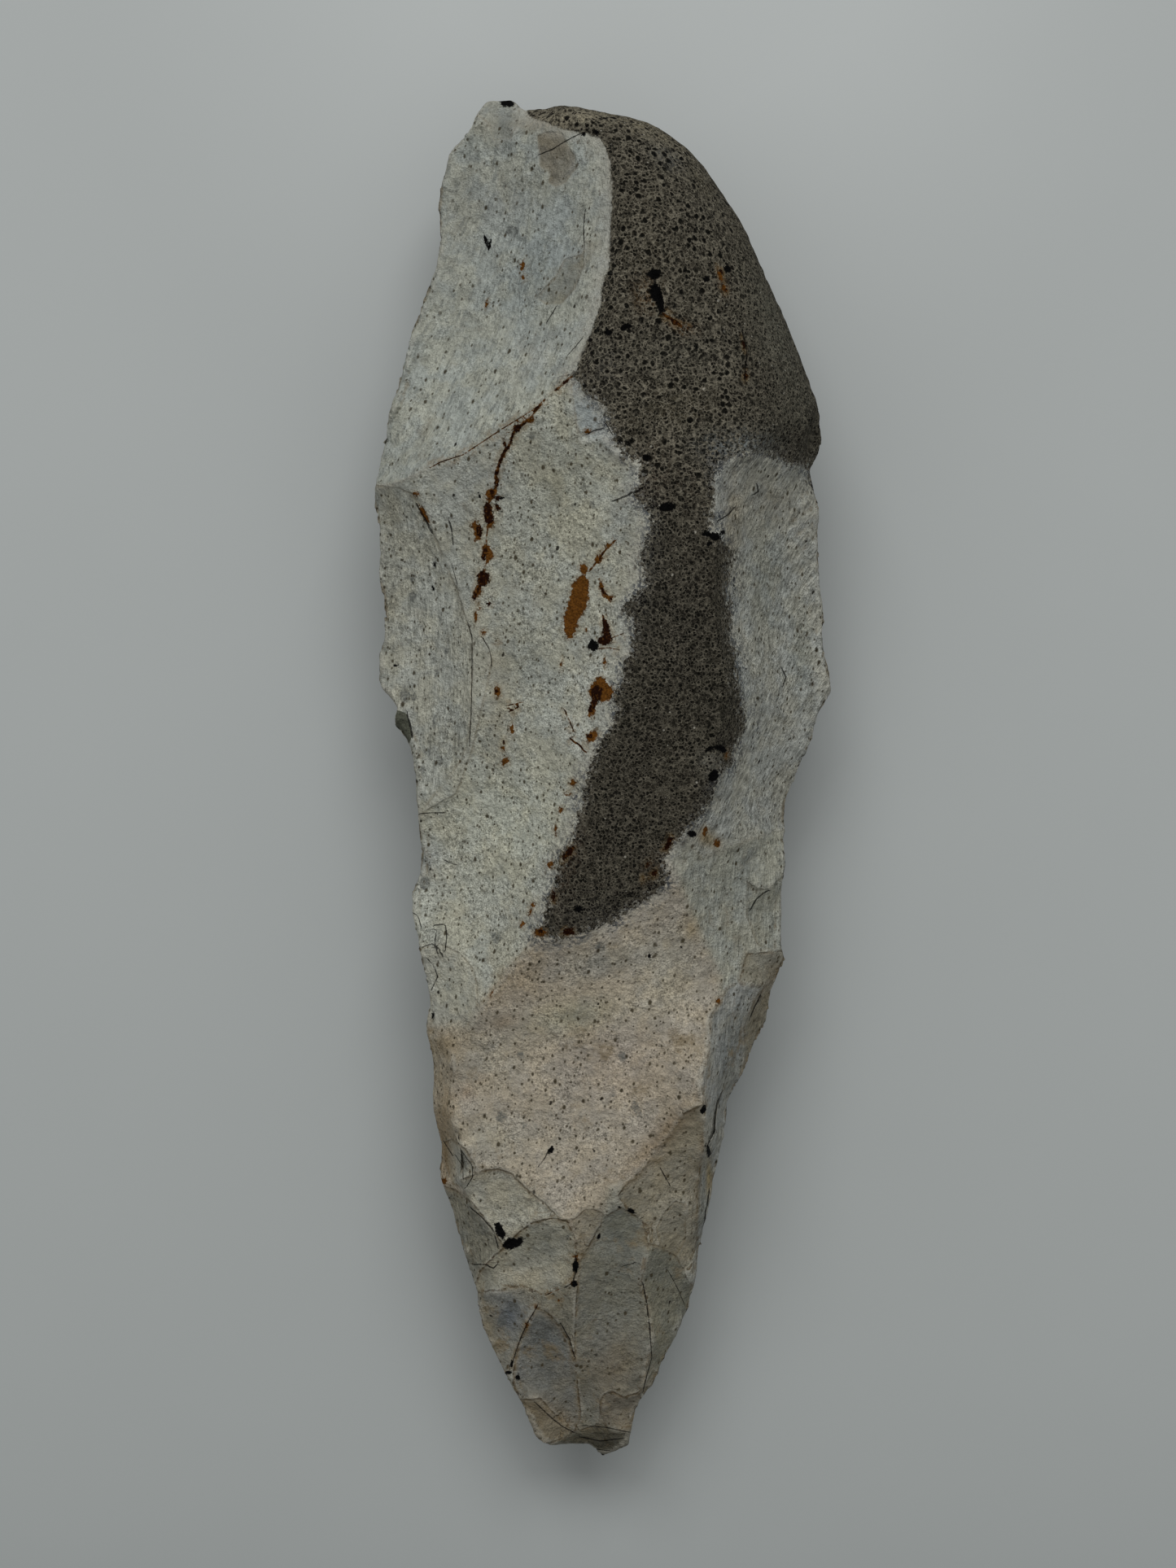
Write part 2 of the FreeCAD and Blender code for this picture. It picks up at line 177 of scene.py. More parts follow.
SCARS = (
    Scar("upper_left", (134, 137, 131), LONG_RIDGE + RIND_CORNER[::-1] + (
        (650, 146), (640, 125), (600, 100), (480, 130), (420, 400), (400, 590)),
        hollow=90.0, grain=Grain.DOWN_LEFT, blow=(500, 250), ripple=0.03, ripple_length=4.5,
        line=0.5, speckle=0.1),
    Scar("middle_left", (135, 136, 128), LONG_RIDGE + (
        (709, 451), (712, 470), (745, 505), (750, 530), (770, 559), (784, 564), (790, 590),
        (780, 605)) + RIND_LEFT + MIDDLE_FOOT + (
        (520, 1275), (430, 1250), (400, 900), (400, 600)),
        hollow=80.0, blow=(455, 700), ripple=0.02, ripple_length=5.0, speckle=0.45),
    Scar("middle", (138, 139, 130), (
        (700, 462), (660, 500), (651, 518), (640, 524), (628, 541), (614, 571), (609, 590),
        (601, 630), (588, 660), (596, 690), (590, 720), (583, 737), (590, 768), (591, 783),
        (601, 797), (604, 811), (596, 850), (580, 920), (560, 975), (500, 1010), (440, 1100),
        (440, 1262)) + MIDDLE_FOOT[::-1] + RIND_LEFT[::-1] + (
        (780, 605), (790, 590), (784, 564), (771, 559), (757, 554), (748, 541), (741, 534),
        (727, 538), (713, 541), (708, 520), (735, 508), (725, 480), (712, 466)),
        hollow=110.0, step=0.18, soften=7.0, blow=(500, 980), ripple=0.02, ripple_length=6.0,
        line=0.7, speckle=1.0),
    Scar("white_spall", (126, 131, 130), (
        (700, 470), (712, 470), (728, 486), (745, 505), (750, 530), (770, 559), (757, 554),
        (748, 541), (741, 534), (727, 538), (713, 541), (708, 520)),
        hollow=26.0, step=0.22, soften=4.0, line=0.9, speckle=0.3),
    # Painted highlight: this raised ridge below the white spall is coloured near white where its wall faces
    # the lamps
    Scar("ridge_painted_highlight", (156, 159, 154), (
        (711, 541), (727, 537), (741, 532), (750, 540), (758, 552), (772, 557), (770, 564),
        (755, 560), (745, 548), (738, 540), (727, 544), (713, 548)),
        hollow=0.0, step=-0.16, soften=2.0, speckle=0.1),
    Scar("left_margin", (138, 139, 131), (
        (461, 596), (490, 600), (511, 608), (522, 628), (534, 657), (548, 692), (562, 725),
        (575, 767), (581, 783), (581, 815), (580, 841), (579, 882), (575, 910), (568, 933),
        (545, 965), (515, 1000), (470, 1010), (420, 900), (420, 650)),
        hollow=60.0, step=0.14, grain=Grain.ALONG, blow=(450, 760), ripple=0.03, ripple_length=3.5,
        line=0.8, speckle=0.45),
    Scar("left_notch", (140, 139, 129), (
        (500, 1168), (540, 1160), (560, 1168), (572, 1178), (581, 1190), (587, 1210),
        (587, 1235), (579, 1256), (560, 1272), (500, 1280)),
        hollow=26.0, step=0.06, soften=9.0, line=0.7, speckle=0.3),
    Scar("right_upper", (136, 137, 131), RIND_SHOULDER + (
        (1040, 600), (1060, 900), (1000, 1012), (925, 1030), (885, 1048), (862, 1056))
        + RIND_RIGHT,
        hollow=45.0, grain=Grain.DIAGONAL, blow=(1030, 760), ripple=0.16, ripple_length=1.9,
        line=0.3, speckle=0.45),
    Scar("right_lower", (130, 131, 123), (
        (829, 1036), (840, 1027), (862, 1056), (885, 1048), (925, 1030), (1000, 1010),
        (1020, 1100), (1000, 1200), (965, 1194), (932, 1213), (907, 1208), (893, 1213),
        (886, 1229)) + RIGHT_RIDGE[::-1] + RIND_FOOT[-1:],
        hollow=40.0, step=0.08, grain=Grain.ALONG, blow=(1000, 1110), ripple=0.15,
        ripple_length=1.8, line=0.3, speckle=0.35),
    Scar("right_nick", (120, 121, 113), (
        (919, 1084), (930, 1092), (944, 1093), (960, 1078), (990, 1080), (985, 1160),
        (955, 1172), (930, 1160), (917, 1125)),
        hollow=24.0, step=0.32, soften=4.0, grain=Grain.ALONG, line=0.7, speckle=0.2),
    Scar("right_edge_ear", (118, 116, 106), (
        (918, 1172), (950, 1170), (990, 1165), (985, 1200), (958, 1200), (932, 1213),
        (907, 1208)), hollow=20.0, step=0.05, line=0.6, stain=0.5, speckle=0.3),
    Scar("lower_middle", (136, 129, 117), RIND_LEFT[-1:] + RIND_FOOT + RIGHT_RIDGE + (
        (872, 1250), (870, 1296), (860, 1330), (867, 1358), (840, 1369), (824, 1395),
        (801, 1422), (782, 1445), (769, 1454), (748, 1459), (741, 1491), (720, 1520),
        (640, 1530), (560, 1480), (520, 1440), (490, 1362), (490, 1290), (523, 1262))
        + MIDDLE_FOOT[::-1],
        hollow=150.0, soften=8.0, blow=(840, 1480), ripple=0.025, ripple_length=7.0,
        line=0.15, speckle=0.8),
    Scar("lower_left_rim", (128, 122, 108), (
        (500, 1262), (540, 1268), (556, 1300), (552, 1340), (560, 1385), (556, 1410),
        (530, 1425), (490, 1400)), hollow=40.0, soften=16.0, stain=0.3, speckle=0.5),
    Scar("left_shell", (128, 128, 120), (
        (545, 1405), (556, 1400), (572, 1412), (584, 1432), (584, 1452), (572, 1462),
        (556, 1455), (548, 1430)),
        hollow=14.0, step=0.12, soften=4.0, blow=(566, 1452), ripple=0.07, ripple_length=1.0,
        line=0.8, stain=0.4, speckle=0.1),
    Scar("right_flank", (126, 127, 123), (
        (886, 1229), (893, 1213), (907, 1208), (932, 1213), (958, 1200), (985, 1190),
        (1010, 1230), (960, 1400), (900, 1640), (856, 1610), (846, 1590), (856, 1540),
        (858, 1463), (862, 1420), (867, 1358), (860, 1330), (870, 1296), (872, 1250)),
        hollow=45.0, grain=Grain.ALONG, blow=(930, 1330), ripple=0.04, ripple_length=2.6,
        line=0.5, stain=0.4, speckle=0.15),
    Scar("right_flank_outer", (104, 99, 86), (
        (930, 1224), (940, 1212), (985, 1190), (1010, 1230), (960, 1370), (905, 1400),
        (912, 1330), (916, 1290), (914, 1262)),
        hollow=30.0, step=0.1, soften=7.0, grain=Grain.ALONG, line=0.6, stain=0.3, speckle=0.2),
    Scar("brown_facet", (114, 109, 96), (
        (867, 1358), (853, 1362), (840, 1369), (824, 1395), (801, 1422), (782, 1445),
        (769, 1454), (760, 1470), (775, 1492), (796, 1507), (799, 1528), (820, 1560),
        (848, 1560), (856, 1530), (858, 1463), (862, 1420)),
        hollow=34.0, step=0.14, soften=4.0, blow=(870, 1520), ripple=0.03,
        line=0.8, stain=0.8, speckle=0.3),
    Scar("brown_facet_lower", (108, 104, 92), (
        (817, 1489), (830, 1476), (843, 1480), (842, 1525), (832, 1542), (812, 1532),
        (806, 1510)), hollow=18.0, step=0.12, line=0.7, speckle=0.2),
    Scar("tip_left_first", (134, 132, 121), (
        (566, 1450), (580, 1445), (596, 1438), (615, 1437), (629, 1443), (647, 1461),
        (661, 1473), (673, 1482), (688, 1498), (656, 1506), (638, 1516), (626, 1540),
        (600, 1520), (575, 1480)),
        hollow=24.0, step=0.3, soften=3.5, line=1.0, stain=0.3, speckle=0.25),
    Scar("tip_left_strip", (108, 107, 98), (
        (535, 1455), (560, 1462), (580, 1478), (604, 1508), (622, 1536), (606, 1556),
        (586, 1592), (560, 1600), (520, 1480)),
        hollow=22.0, step=0.12, grain=Grain.ALONG, line=0.8, stain=0.5, speckle=0.2),
    Scar("tip_left_second", (119, 117, 106), (
        (638, 1514), (656, 1502), (679, 1497), (697, 1500), (706, 1520), (709, 1545),
        (707, 1562), (703, 1573), (687, 1583), (666, 1591), (655, 1585), (639, 1580),
        (616, 1585), (580, 1588), (590, 1562), (606, 1545), (622, 1530)),
        hollow=20.0, step=0.28, soften=3.5, line=1.0, stain=0.9, speckle=0.15),
    Scar("tip_small_upper", (112, 106, 93), (
        (700, 1500), (707, 1498), (718, 1486), (730, 1486), (741, 1491), (738, 1510),
        (724, 1530), (711, 1548), (707, 1520)),
        hollow=15.0, step=0.12, line=0.6, stain=0.4, speckle=0.2),
    Scar("tip_left_patch", (104, 103, 96), (
        (575, 1590), (600, 1586), (616, 1585), (639, 1580), (655, 1588), (659, 1604),
        (648, 1626), (639, 1647), (633, 1661), (624, 1690), (600, 1690), (560, 1620)),
        hollow=26.0, step=0.1, soften=6.0, line=0.6, stain=0.7, speckle=0.15),
    Scar("tip_between", (100, 97, 86), (
        (655, 1588), (666, 1591), (687, 1583), (703, 1573), (709, 1562), (712, 1600),
        (708, 1650), (698, 1645), (687, 1629), (669, 1610), (659, 1604)),
        hollow=18.0, step=0.05, line=0.5, stain=0.4, speckle=0.15),
    Scar("tip_long_flute", (98, 97, 89), (
        (732, 1516), (743, 1496), (762, 1484), (780, 1493), (792, 1507), (797, 1528),
        (790, 1552), (788, 1576), (795, 1603), (802, 1638), (799, 1665), (792, 1695),
        (788, 1711), (772, 1738), (745, 1756), (708, 1764), (709, 1695), (706, 1655),
        (708, 1600), (712, 1550)),
        hollow=26.0, step=0.3, soften=4.0, blow=(750, 1760), ripple=0.04, ripple_length=3.0,
        line=0.9, stain=0.5, speckle=0.15),
    Scar("tip_right", (97, 96, 86), (
        (797, 1528), (812, 1532), (832, 1545), (846, 1575), (870, 1600), (850, 1660),
        (820, 1700), (805, 1712), (788, 1711), (792, 1695), (799, 1665), (802, 1638),
        (795, 1603), (788, 1576)),
        hollow=26.0, step=0.08, blow=(830, 1640), ripple=0.03, line=0.6, stain=0.4, speckle=0.15),
    Scar("tip_oval", (95, 95, 91), (
        (669, 1610), (678, 1618), (687, 1629), (698, 1645), (705, 1665), (709, 1695),
        (714, 1743), (705, 1759), (684, 1740), (660, 1722), (641, 1720), (630, 1702),
        (633, 1672), (640, 1647), (650, 1626), (659, 1606)),
        hollow=16.0, step=0.3, soften=4.0, line=1.0, stain=0.9, speckle=0.15),
    Scar("tip_tan_corner", (98, 91, 77), (
        (620, 1712), (641, 1720), (664, 1719), (684, 1740), (705, 1759), (690, 1768),
        (668, 1776), (640, 1778), (620, 1740)),
        hollow=22.0, step=0.15, soften=4.0, line=0.9, stain=0.6, speckle=0.1),
    # Its grey is partly the tip's grey patina and partly painted shadow: the shade under the arc edge along
    # its upper border
    Scar("tip_right_lip_with_painted_shadow", (92, 88, 79), (
        (738, 1722), (742, 1713), (753, 1710), (765, 1717), (786, 1711), (790, 1730),
        (782, 1752), (760, 1756), (736, 1748)),
        hollow=12.0, step=0.26, soften=3.0, line=0.9, stain=0.6, speckle=0.1),
    Scar("tip_platform", (66, 64, 55), (
        (640, 1780), (668, 1775), (690, 1768), (705, 1760), (736, 1750), (760, 1757),
        (782, 1753), (800, 1760), (790, 1800), (742, 1820), (700, 1800), (650, 1800)),
        hollow=18.0, step=0.2, soften=5.0, line=0.8, stain=0.5, speckle=0.1),
    Scar("right_spall", (104, 100, 88), (
        (803, 1684), (811, 1690), (812, 1706), (803, 1717), (795, 1724), (790, 1712),
        (796, 1697)), hollow=10.0, step=0.15, soften=3.0, line=0.9, speckle=0.1),
    Scar("nib", (121, 123, 118), (
        (585, 140), (590, 100), (645, 100), (640, 131), (636, 150), (628, 170), (607, 173),
        (600, 152)), hollow=16.0, step=0.1, soften=8.0, line=0.5, speckle=0.2),
    Scar("tan_spall", (98, 93, 82), (
        (660, 167), (672, 162), (690, 163), (699, 180), (707, 192), (707, 208), (695, 224),
        (683, 229), (674, 224), (676, 212), (664, 206), (663, 190)),
        hollow=60.0, step=0.12, soften=3.0, line=0.6, speckle=0.05),
    Scar("tan_crescent", (107, 105, 94), (
        (718, 302), (717, 327), (706, 355), (690, 373), (672, 374), (658, 366), (670, 353),
        (683, 339), (693, 320), (704, 315), (716, 312)),
        hollow=60.0, step=0.12, soften=2.5, line=0.8, speckle=0.05),
    Scar(RIND, (48, 45, 38), ((644, 128), (650, 143)) + RIND_CORNER + (
        (700, 462), (712, 470), (728, 486), (745, 505), (750, 530), (760, 548), (770, 559),
        (784, 564), (790, 590), (780, 605), (795, 622)) + RIND_LEFT + RIND_FOOT + (
        (829, 1036),) + RIND_RIGHT + RIND_SHOULDER + (
        (996, 596), (1100, 600), (1100, 400), (950, 60), (700, 60)), hollow=0.0, soften=2.0),
)

# Soft patches of tone that lie over the scars
BLOTS = (
    Blot(700, 148, 90, 10, 4, (108, 100, 84), 0.9), Blot(620, 156, 14, 18, 0, (96, 100, 99), 0.8),
    Blot(610, 250, 60, 60, 0, (124, 126, 121), 0.6), Blot(540, 300, 30, 90, -12, (122, 123, 116), 0.5),
    Blot(660, 330, 40, 60, -20, (118, 124, 123), 0.7), Blot(700, 260, 20, 70, 0, (122, 127, 126), 0.5),
    Blot(560, 480, 60, 60, 0, (141, 144, 137), 0.6), Blot(728, 290, 12, 120, 0, (136, 138, 132), 0.6),
    Blot(660, 440, 60, 14, 40, (144, 146, 140), 0.5), Blot(600, 590, 60, 30, 25, (120, 122, 117), 0.6),
    Blot(690, 600, 50, 80, 0, (122, 121, 107), 0.6), Blot(760, 530, 26, 22, 0, (122, 127, 127), 0.7),
    Blot(770, 640, 22, 50, 0, (106, 108, 104), 0.6), Blot(640, 790, 60, 110, 0, (122, 124, 117), 0.6),
    Blot(612, 870, 16, 80, 0, (118, 108, 86), 0.35), Blot(735, 830, 24, 90, -10, (141, 142, 134), 0.7),
    Blot(480, 700, 14, 110, 0, (116, 114, 102), 0.5), Blot(620, 1010, 70, 70, 0, (150, 151, 138), 0.7),
    Blot(560, 1080, 60, 60, 0, (151, 151, 139), 0.7), Blot(525, 1060, 20, 26, 0, (118, 122, 124), 0.5),
    Blot(632, 1130, 26, 16, 35, (116, 116, 108), 0.5), Blot(640, 1205, 60, 22, 42, (116, 105, 88), 0.7),
    Blot(560, 1275, 26, 34, 0, (112, 100, 82), 0.6), Blot(560, 1220, 26, 40, 0, (138, 140, 132), 0.6),
    Blot(600, 1300, 50, 40, 0, (120, 118, 108), 0.5), Blot(704, 1249, 60, 22, 10, (118, 118, 98), 0.55),
    Blot(740, 1180, 70, 20, 12, (122, 123, 116), 0.5),
    Blot(820, 1200, 40, 60, -15, (124, 122, 110), 0.5),
    Blot(760, 1320, 60, 60, 0, (136, 126, 115), 0.5),
    Blot(700, 1390, 110, 50, 20, (137, 131, 119), 0.6), Blot(545, 1370, 16, 60, 0, (118, 104, 84), 0.6),
    Blot(600, 1400, 40, 30, 0, (136, 133, 121), 0.6), Blot(850, 1140, 10, 14, 0, (118, 104, 76), 0.5),
    Blot(810, 1400, 14, 60, -42, (112, 99, 81), 0.8),
    Blot(640, 1478, 40, 20, -30, (133, 131, 119), 0.6),
    Blot(640, 1566, 40, 10, 0, (133, 129, 116), 0.8), Blot(665, 1525, 26, 18, 0, (101, 102, 95), 0.7),
    Blot(625, 1615, 18, 20, 0, (82, 87, 93), 0.8), Blot(600, 1640, 12, 34, 22, (116, 108, 90), 0.7),
    Blot(545, 1420, 10, 30, 10, (104, 88, 64), 0.6), Blot(760, 1505, 26, 24, 0, (84, 86, 80), 0.7),
    Blot(760, 1580, 26, 50, 0, (96, 97, 90), 0.6), Blot(750, 1680, 34, 44, 0, (98, 90, 76), 0.8),
    Blot(735, 1640, 16, 30, 0, (90, 91, 87), 0.5), Blot(672, 1650, 20, 34, 10, (76, 78, 76), 0.7),
    Blot(690, 1700, 12, 30, 0, (98, 95, 86), 0.6), Blot(680, 1735, 26, 12, -30, (104, 96, 82), 0.7),
    Blot(900, 1290, 14, 60, -10, (102, 106, 105), 0.6), Blot(862, 1490, 9, 60, -6, (92, 96, 94), 0.7),
    Blot(845, 1620, 14, 40, -12, (84, 86, 80), 0.6), Blot(960, 1195, 20, 16, 0, (100, 90, 74), 0.7),
    Blot(900, 1070, 30, 50, -10, (114, 117, 112), 0.6), Blot(900, 640, 12, 60, 0, (120, 113, 98), 0.6),
    Blot(945, 620, 26, 24, 0, (118, 112, 98), 0.5), Blot(940, 720, 26, 80, 0, (116, 119, 113), 0.6),
    Blot(985, 800, 14, 60, 0, (108, 112, 107), 0.6), Blot(868, 1030, 16, 10, -30, (118, 100, 62), 0.7),
    Blot(871, 1446, 4, 24, 0, (118, 104, 70), 0.8), Blot(742, 1772, 26, 9, 0, (52, 50, 44), 0.7),
    Blot(573, 1343, 9, 9, 20, (108, 92, 74), 0.6), Blot(592, 1328, 14, 7, 20, (116, 104, 88), 0.4),
    Blot(545, 1285, 14, 10, 0, (104, 92, 72), 0.5), Blot(620, 1256, 20, 9, 15, (108, 92, 72), 0.5),
    Blot(548, 1415, 8, 26, 10, (92, 78, 56), 0.5),
)

# Soft patches of tone in the rind
RIND_BLOTS = (
    Blot(700, 145, 70, 13, 4, (122, 116, 100), 0.9), Blot(800, 160, 74, 12, -26, (104, 98, 82), 0.85),
    Blot(870, 235, 70, 8, -55, (76, 71, 57), 0.7), Blot(818, 192, 24, 12, -30, (60, 66, 70), 0.6),
    Blot(778, 200, 20, 30, 0, (40, 37, 32), 0.5), Blot(880, 250, 40, 50, -35, (46, 44, 39), 0.7),
    Blot(790, 300, 34, 44, 0, (51, 47, 38), 0.6), Blot(795, 362, 15, 20, 0, (72, 52, 28), 0.7),
    Blot(838, 402, 18, 8, -20, (80, 54, 26), 0.7), Blot(888, 345, 9, 16, 0, (52, 34, 22), 0.5),
    Blot(840, 440, 60, 36, 0, (62, 61, 54), 0.6), Blot(745, 450, 22, 30, 0, (40, 40, 39), 0.7),
    Blot(830, 500, 50, 30, 0, (52, 48, 37), 0.6), Blot(960, 420, 26, 110, 20, (74, 74, 66), 0.8),
    Blot(960, 520, 40, 40, 0, (60, 59, 52), 0.6), Blot(908, 548, 42, 18, 0, (96, 101, 101), 0.75),
    Blot(880, 572, 12, 20, 0, (54, 60, 68), 0.7), Blot(800, 590, 20, 40, 0, (50, 40, 31), 0.6),
    Blot(850, 600, 30, 30, 0, (44, 39, 32), 0.6), Blot(800, 660, 16, 60, 0, (31, 33, 35), 0.8),
    Blot(790, 740, 14, 50, 0, (31, 32, 33), 0.7), Blot(840, 760, 46, 90, 0, (31, 29, 25), 0.85),
    Blot(880, 860, 30, 60, 0, (31, 30, 25), 0.8), Blot(870, 936, 14, 12, 0, (88, 87, 80), 0.8),
    Blot(880, 965, 16, 12, 40, (33, 40, 49), 0.7), Blot(780, 900, 46, 70, 0, (33, 31, 26), 0.8),
    Blot(760, 1010, 60, 60, 0, (33, 31, 26), 0.8), Blot(730, 1120, 50, 18, 12, (30, 31, 31), 0.6),
    Blot(700, 1060, 12, 40, -18, (46, 31, 20), 0.5), Blot(803, 1068, 13, 26, -25, (38, 24, 15), 0.6),
)

# Rust: brown patches with an edge, each drawn by its corners
RUST_PATCHES = (
    ((711, 709), (718, 706), (724, 714), (724, 733), (720, 746), (711, 762), (707, 778),
     (699, 788), (692, 774), (693, 757), (697, 743), (701, 730), (703, 719)),
    ((736, 829), (741, 833), (752, 844), (754, 851), (748, 861), (740, 864), (735, 860),
     (732, 872), (727, 882), (722, 880), (724, 871), (728, 861), (724, 853), (725, 843),
     (732, 836)),
    ((719, 905), (725, 900), (731, 896), (736, 905), (729, 912), (722, 914)),
    ((600, 640), (608, 641), (604, 650), (597, 648)),
    ((579, 643), (585, 640), (592, 652), (589, 664), (582, 667), (583, 657)),
    ((591, 671), (600, 670), (607, 678), (604, 690), (598, 691), (595, 683)),
    ((585, 718), (592, 722), (590, 730), (584, 738), (581, 732)),
    ((596, 604), (606, 600), (613, 604), (607, 613), (599, 616)),
    ((736, 710), (740, 714), (744, 728), (753, 733), (750, 740), (741, 734), (737, 724)),
)

# Rust: the same in its deepest tone
DEEP_PATCHES = (
    ((741, 761), (746, 763), (749, 769), (750, 777), (753, 784), (751, 790), (743, 794),
     (735, 790), (734, 785), (740, 781), (740, 771)),
    ((597, 617), (603, 619), (606, 629), (607, 639), (602, 645), (597, 643), (594, 634),
     (594, 625)),
    ((726, 848), (733, 841), (740, 846), (739, 858), (733, 866), (727, 877), (722, 873),
     (727, 862)),
    ((693, 1141), (704, 1140), (706, 1148), (690, 1150)),
    ((698, 1042), (706, 1038), (703, 1050), (690, 1060), (691, 1050)),
    ((680, 1092), (684, 1097), (681, 1108), (676, 1106)),
    ((823, 1026), (829, 1030), (820, 1046), (814, 1044)),
)

# Black patches: broken bubbles and inky stains
INK_PATCHES = (
    ((720, 795), (727, 785), (733, 788), (736, 793), (735, 798), (729, 801), (724, 797)),
    ((607, 1503), (613, 1502), (618, 1508), (622, 1517), (618, 1523), (610, 1518)),
    ((617, 1531), (623, 1521), (634, 1522), (645, 1520), (641, 1530), (632, 1534),
     (622, 1536)),
    ((806, 624), (815, 618), (828, 618), (834, 623), (826, 627), (814, 629)),
    ((861, 926), (872, 917), (886, 915), (896, 924), (888, 925), (880, 921), (870, 924)),
    ((612, 124), (622, 121), (634, 123), (631, 131), (618, 131)),
    ((799, 350), (810, 348), (815, 366), (817, 384), (811, 386), (806, 372), (799, 366)),
    ((866, 1404), (870, 1406), (874, 1418), (871, 1424), (867, 1414)),
)

# Small rust marks
RUST_SPOTS = (
    Spot(642, 326, 3, 6, -8), Spot(643, 341, 2, 3), Spot(598, 373, 2, 4, -20),
    Spot(651, 516, 4, 5, -40), Spot(619, 560, 2, 4, -20), Spot(722, 530, 4, 3, 20),
    Spot(717, 699, 5, 6), Spot(736, 687, 4, 6, -30), Spot(720, 774, 2, 3), Spot(743, 813, 2, 5),
    Spot(690, 816, 2, 5), Spot(611, 850, 4, 7, 10), Spot(629, 897, 3, 6), Spot(618, 920, 3, 3),
    Spot(621, 936, 4, 5, -30), Spot(594, 777, 3, 3), Spot(585, 758, 2, 7), Spot(704, 962, 4, 4),
    Spot(697, 976, 3, 3), Spot(689, 995, 3, 4, -30), Spot(683, 1021, 2, 5), Spot(676, 1063, 4, 4),
    Spot(654, 1114, 3, 4, -20), Spot(650, 1122, 3, 3), Spot(642, 1136, 3, 4, -20),
    Spot(664, 1146, 8, 5), Spot(589, 746, 2, 4, -20), Spot(885, 338, 3, 8, 20),
    Spot(890, 355, 3, 5, 20), Spot(611, 790, 3, 2, 20), Spot(604, 1221, 2, 4, -20),
    Spot(866, 1021, 3, 6, -10), Spot(881, 1037, 4, 5), Spot(708, 1545, 3, 4), Spot(703, 1577, 3, 3),
    Spot(893, 928, 2, 4), Spot(511, 607, 3, 3), Spot(521, 632, 3, 12, 28), Spot(747, 671, 5, 3, 30),
    Spot(688, 1597, 2, 3), Spot(659, 1605, 2, 2), Spot(647, 1628, 2, 3), Spot(883, 1230, 3, 3),
    Spot(545, 1452, 4, 4), Spot(540, 1425, 3, 8),
)

# Small rust marks in the deepest tone
DEEP_SPOTS = (
    Spot(594, 711, 8, 10), Spot(635, 526, 6, 5, 30), Spot(590, 655, 3, 5, -20), Spot(597, 676, 3, 4),
    Spot(601, 742, 3, 3), Spot(738, 687, 2, 3), Spot(725, 905, 4, 3), Spot(610, 850, 2, 3),
    Spot(628, 541, 2, 5, -20), Spot(614, 571, 2, 5, -20), Spot(619, 912, 2, 3), Spot(916, 462, 3, 5),
    Spot(829, 396, 8, 3, -35), Spot(914, 425, 2, 8, 12), Spot(661, 501, 4, 2, 40),
    Spot(804, 1074, 3, 5, -20), Spot(790, 1080, 2, 3), Spot(886, 334, 2, 4, 20), Spot(892, 357, 2, 3),
    Spot(620, 545, 2, 6, 15), Spot(605, 606, 3, 4, 20), Spot(796, 1062, 3, 4, -30),
    Spot(588, 650, 3, 7, -10), Spot(611, 612, 5, 3, 30), Spot(612, 624, 3, 6, 30), Spot(594, 684, 3, 6),
    Spot(583, 733, 3, 5, -15), Spot(610, 593, 3, 7, -8), Spot(694, 470, 5, 2, 35),
    Spot(664, 1146, 4, 3),
)

# Black mineral grains
INK_SPOTS = (
    Spot(597, 296, 2, 9, 16), Spot(602, 301, 2, 8, -14), Spot(769, 402, 8, 4, 20), Spot(747, 408, 5, 4),
    Spot(868, 343, 4, 4), Spot(894, 331, 5, 5), Spot(877, 953, 8, 6, 40), Spot(850, 1025, 6, 4),
    Spot(794, 563, 5, 5), Spot(736, 1520, 2, 5, -25), Spot(776, 1488, 6, 3, -20),
    Spot(762, 1483, 3, 1.5), Spot(707, 1556, 4, 8), Spot(706, 1578, 4, 5), Spot(804, 337, 9, 6, 10),
    Spot(868, 656, 5, 4), Spot(879, 660, 7, 5, 20), Spot(888, 654, 3, 3), Spot(871, 669, 3, 3),
    Spot(629, 1676, 2, 5, -15), Spot(625, 1687, 5, 2.5, 20), Spot(636, 1692, 3, 4),
    Spot(710, 1117, 6, 4), Spot(798, 1176, 2, 5, 20), Spot(795, 1161, 2, 2), Spot(837, 1165, 2, 2),
    Spot(677, 1413, 3, 6, -30), Spot(534, 695, 1.5, 4), Spot(532, 723, 1.5, 4, 30),
    Spot(487, 818, 4, 2, 30), Spot(717, 165, 3, 3), Spot(733, 163, 3, 3), Spot(532, 1248, 2, 4),
    Spot(1000, 597, 3, 5), Spot(864, 1364, 3, 7, -25), Spot(589, 609, 1.5, 5, 30),
    Spot(615, 630, 1.5, 4, -40), Spot(617, 612, 4, 1.5, 10),
)

# Grey mineral spots that look through the white skin
GREY_SPOTS = (
    Spot(507, 733, 5, 6), Spot(550, 800, 3, 4), Spot(498, 856, 7, 8), Spot(509, 857, 5, 5),
    Spot(534, 887, 3, 8), Spot(526, 925, 4, 5), Spot(540, 935, 5, 6), Spot(518, 946, 4, 4),
    Spot(507, 710, 4, 5), Spot(537, 828, 3, 5), Spot(610, 1153, 6, 7), Spot(737, 1163, 6, 6),
    Spot(717, 1154, 7, 4), Spot(639, 1297, 4, 5), Spot(765, 1298, 6, 6), Spot(752, 1346, 4, 3),
    Spot(782, 1363, 5, 10, 25), Spot(616, 1373, 7, 6), Spot(644, 1381, 3, 4), Spot(653, 537, 4, 4),
    Spot(630, 284, 8, 7), Spot(522, 1085, 7, 8), Spot(698, 1520, 2, 3), Spot(590, 1476, 3, 3),
    Spot(631, 1607, 8, 7), Spot(617, 1624, 6, 6), Spot(727, 620, 4, 5),
)

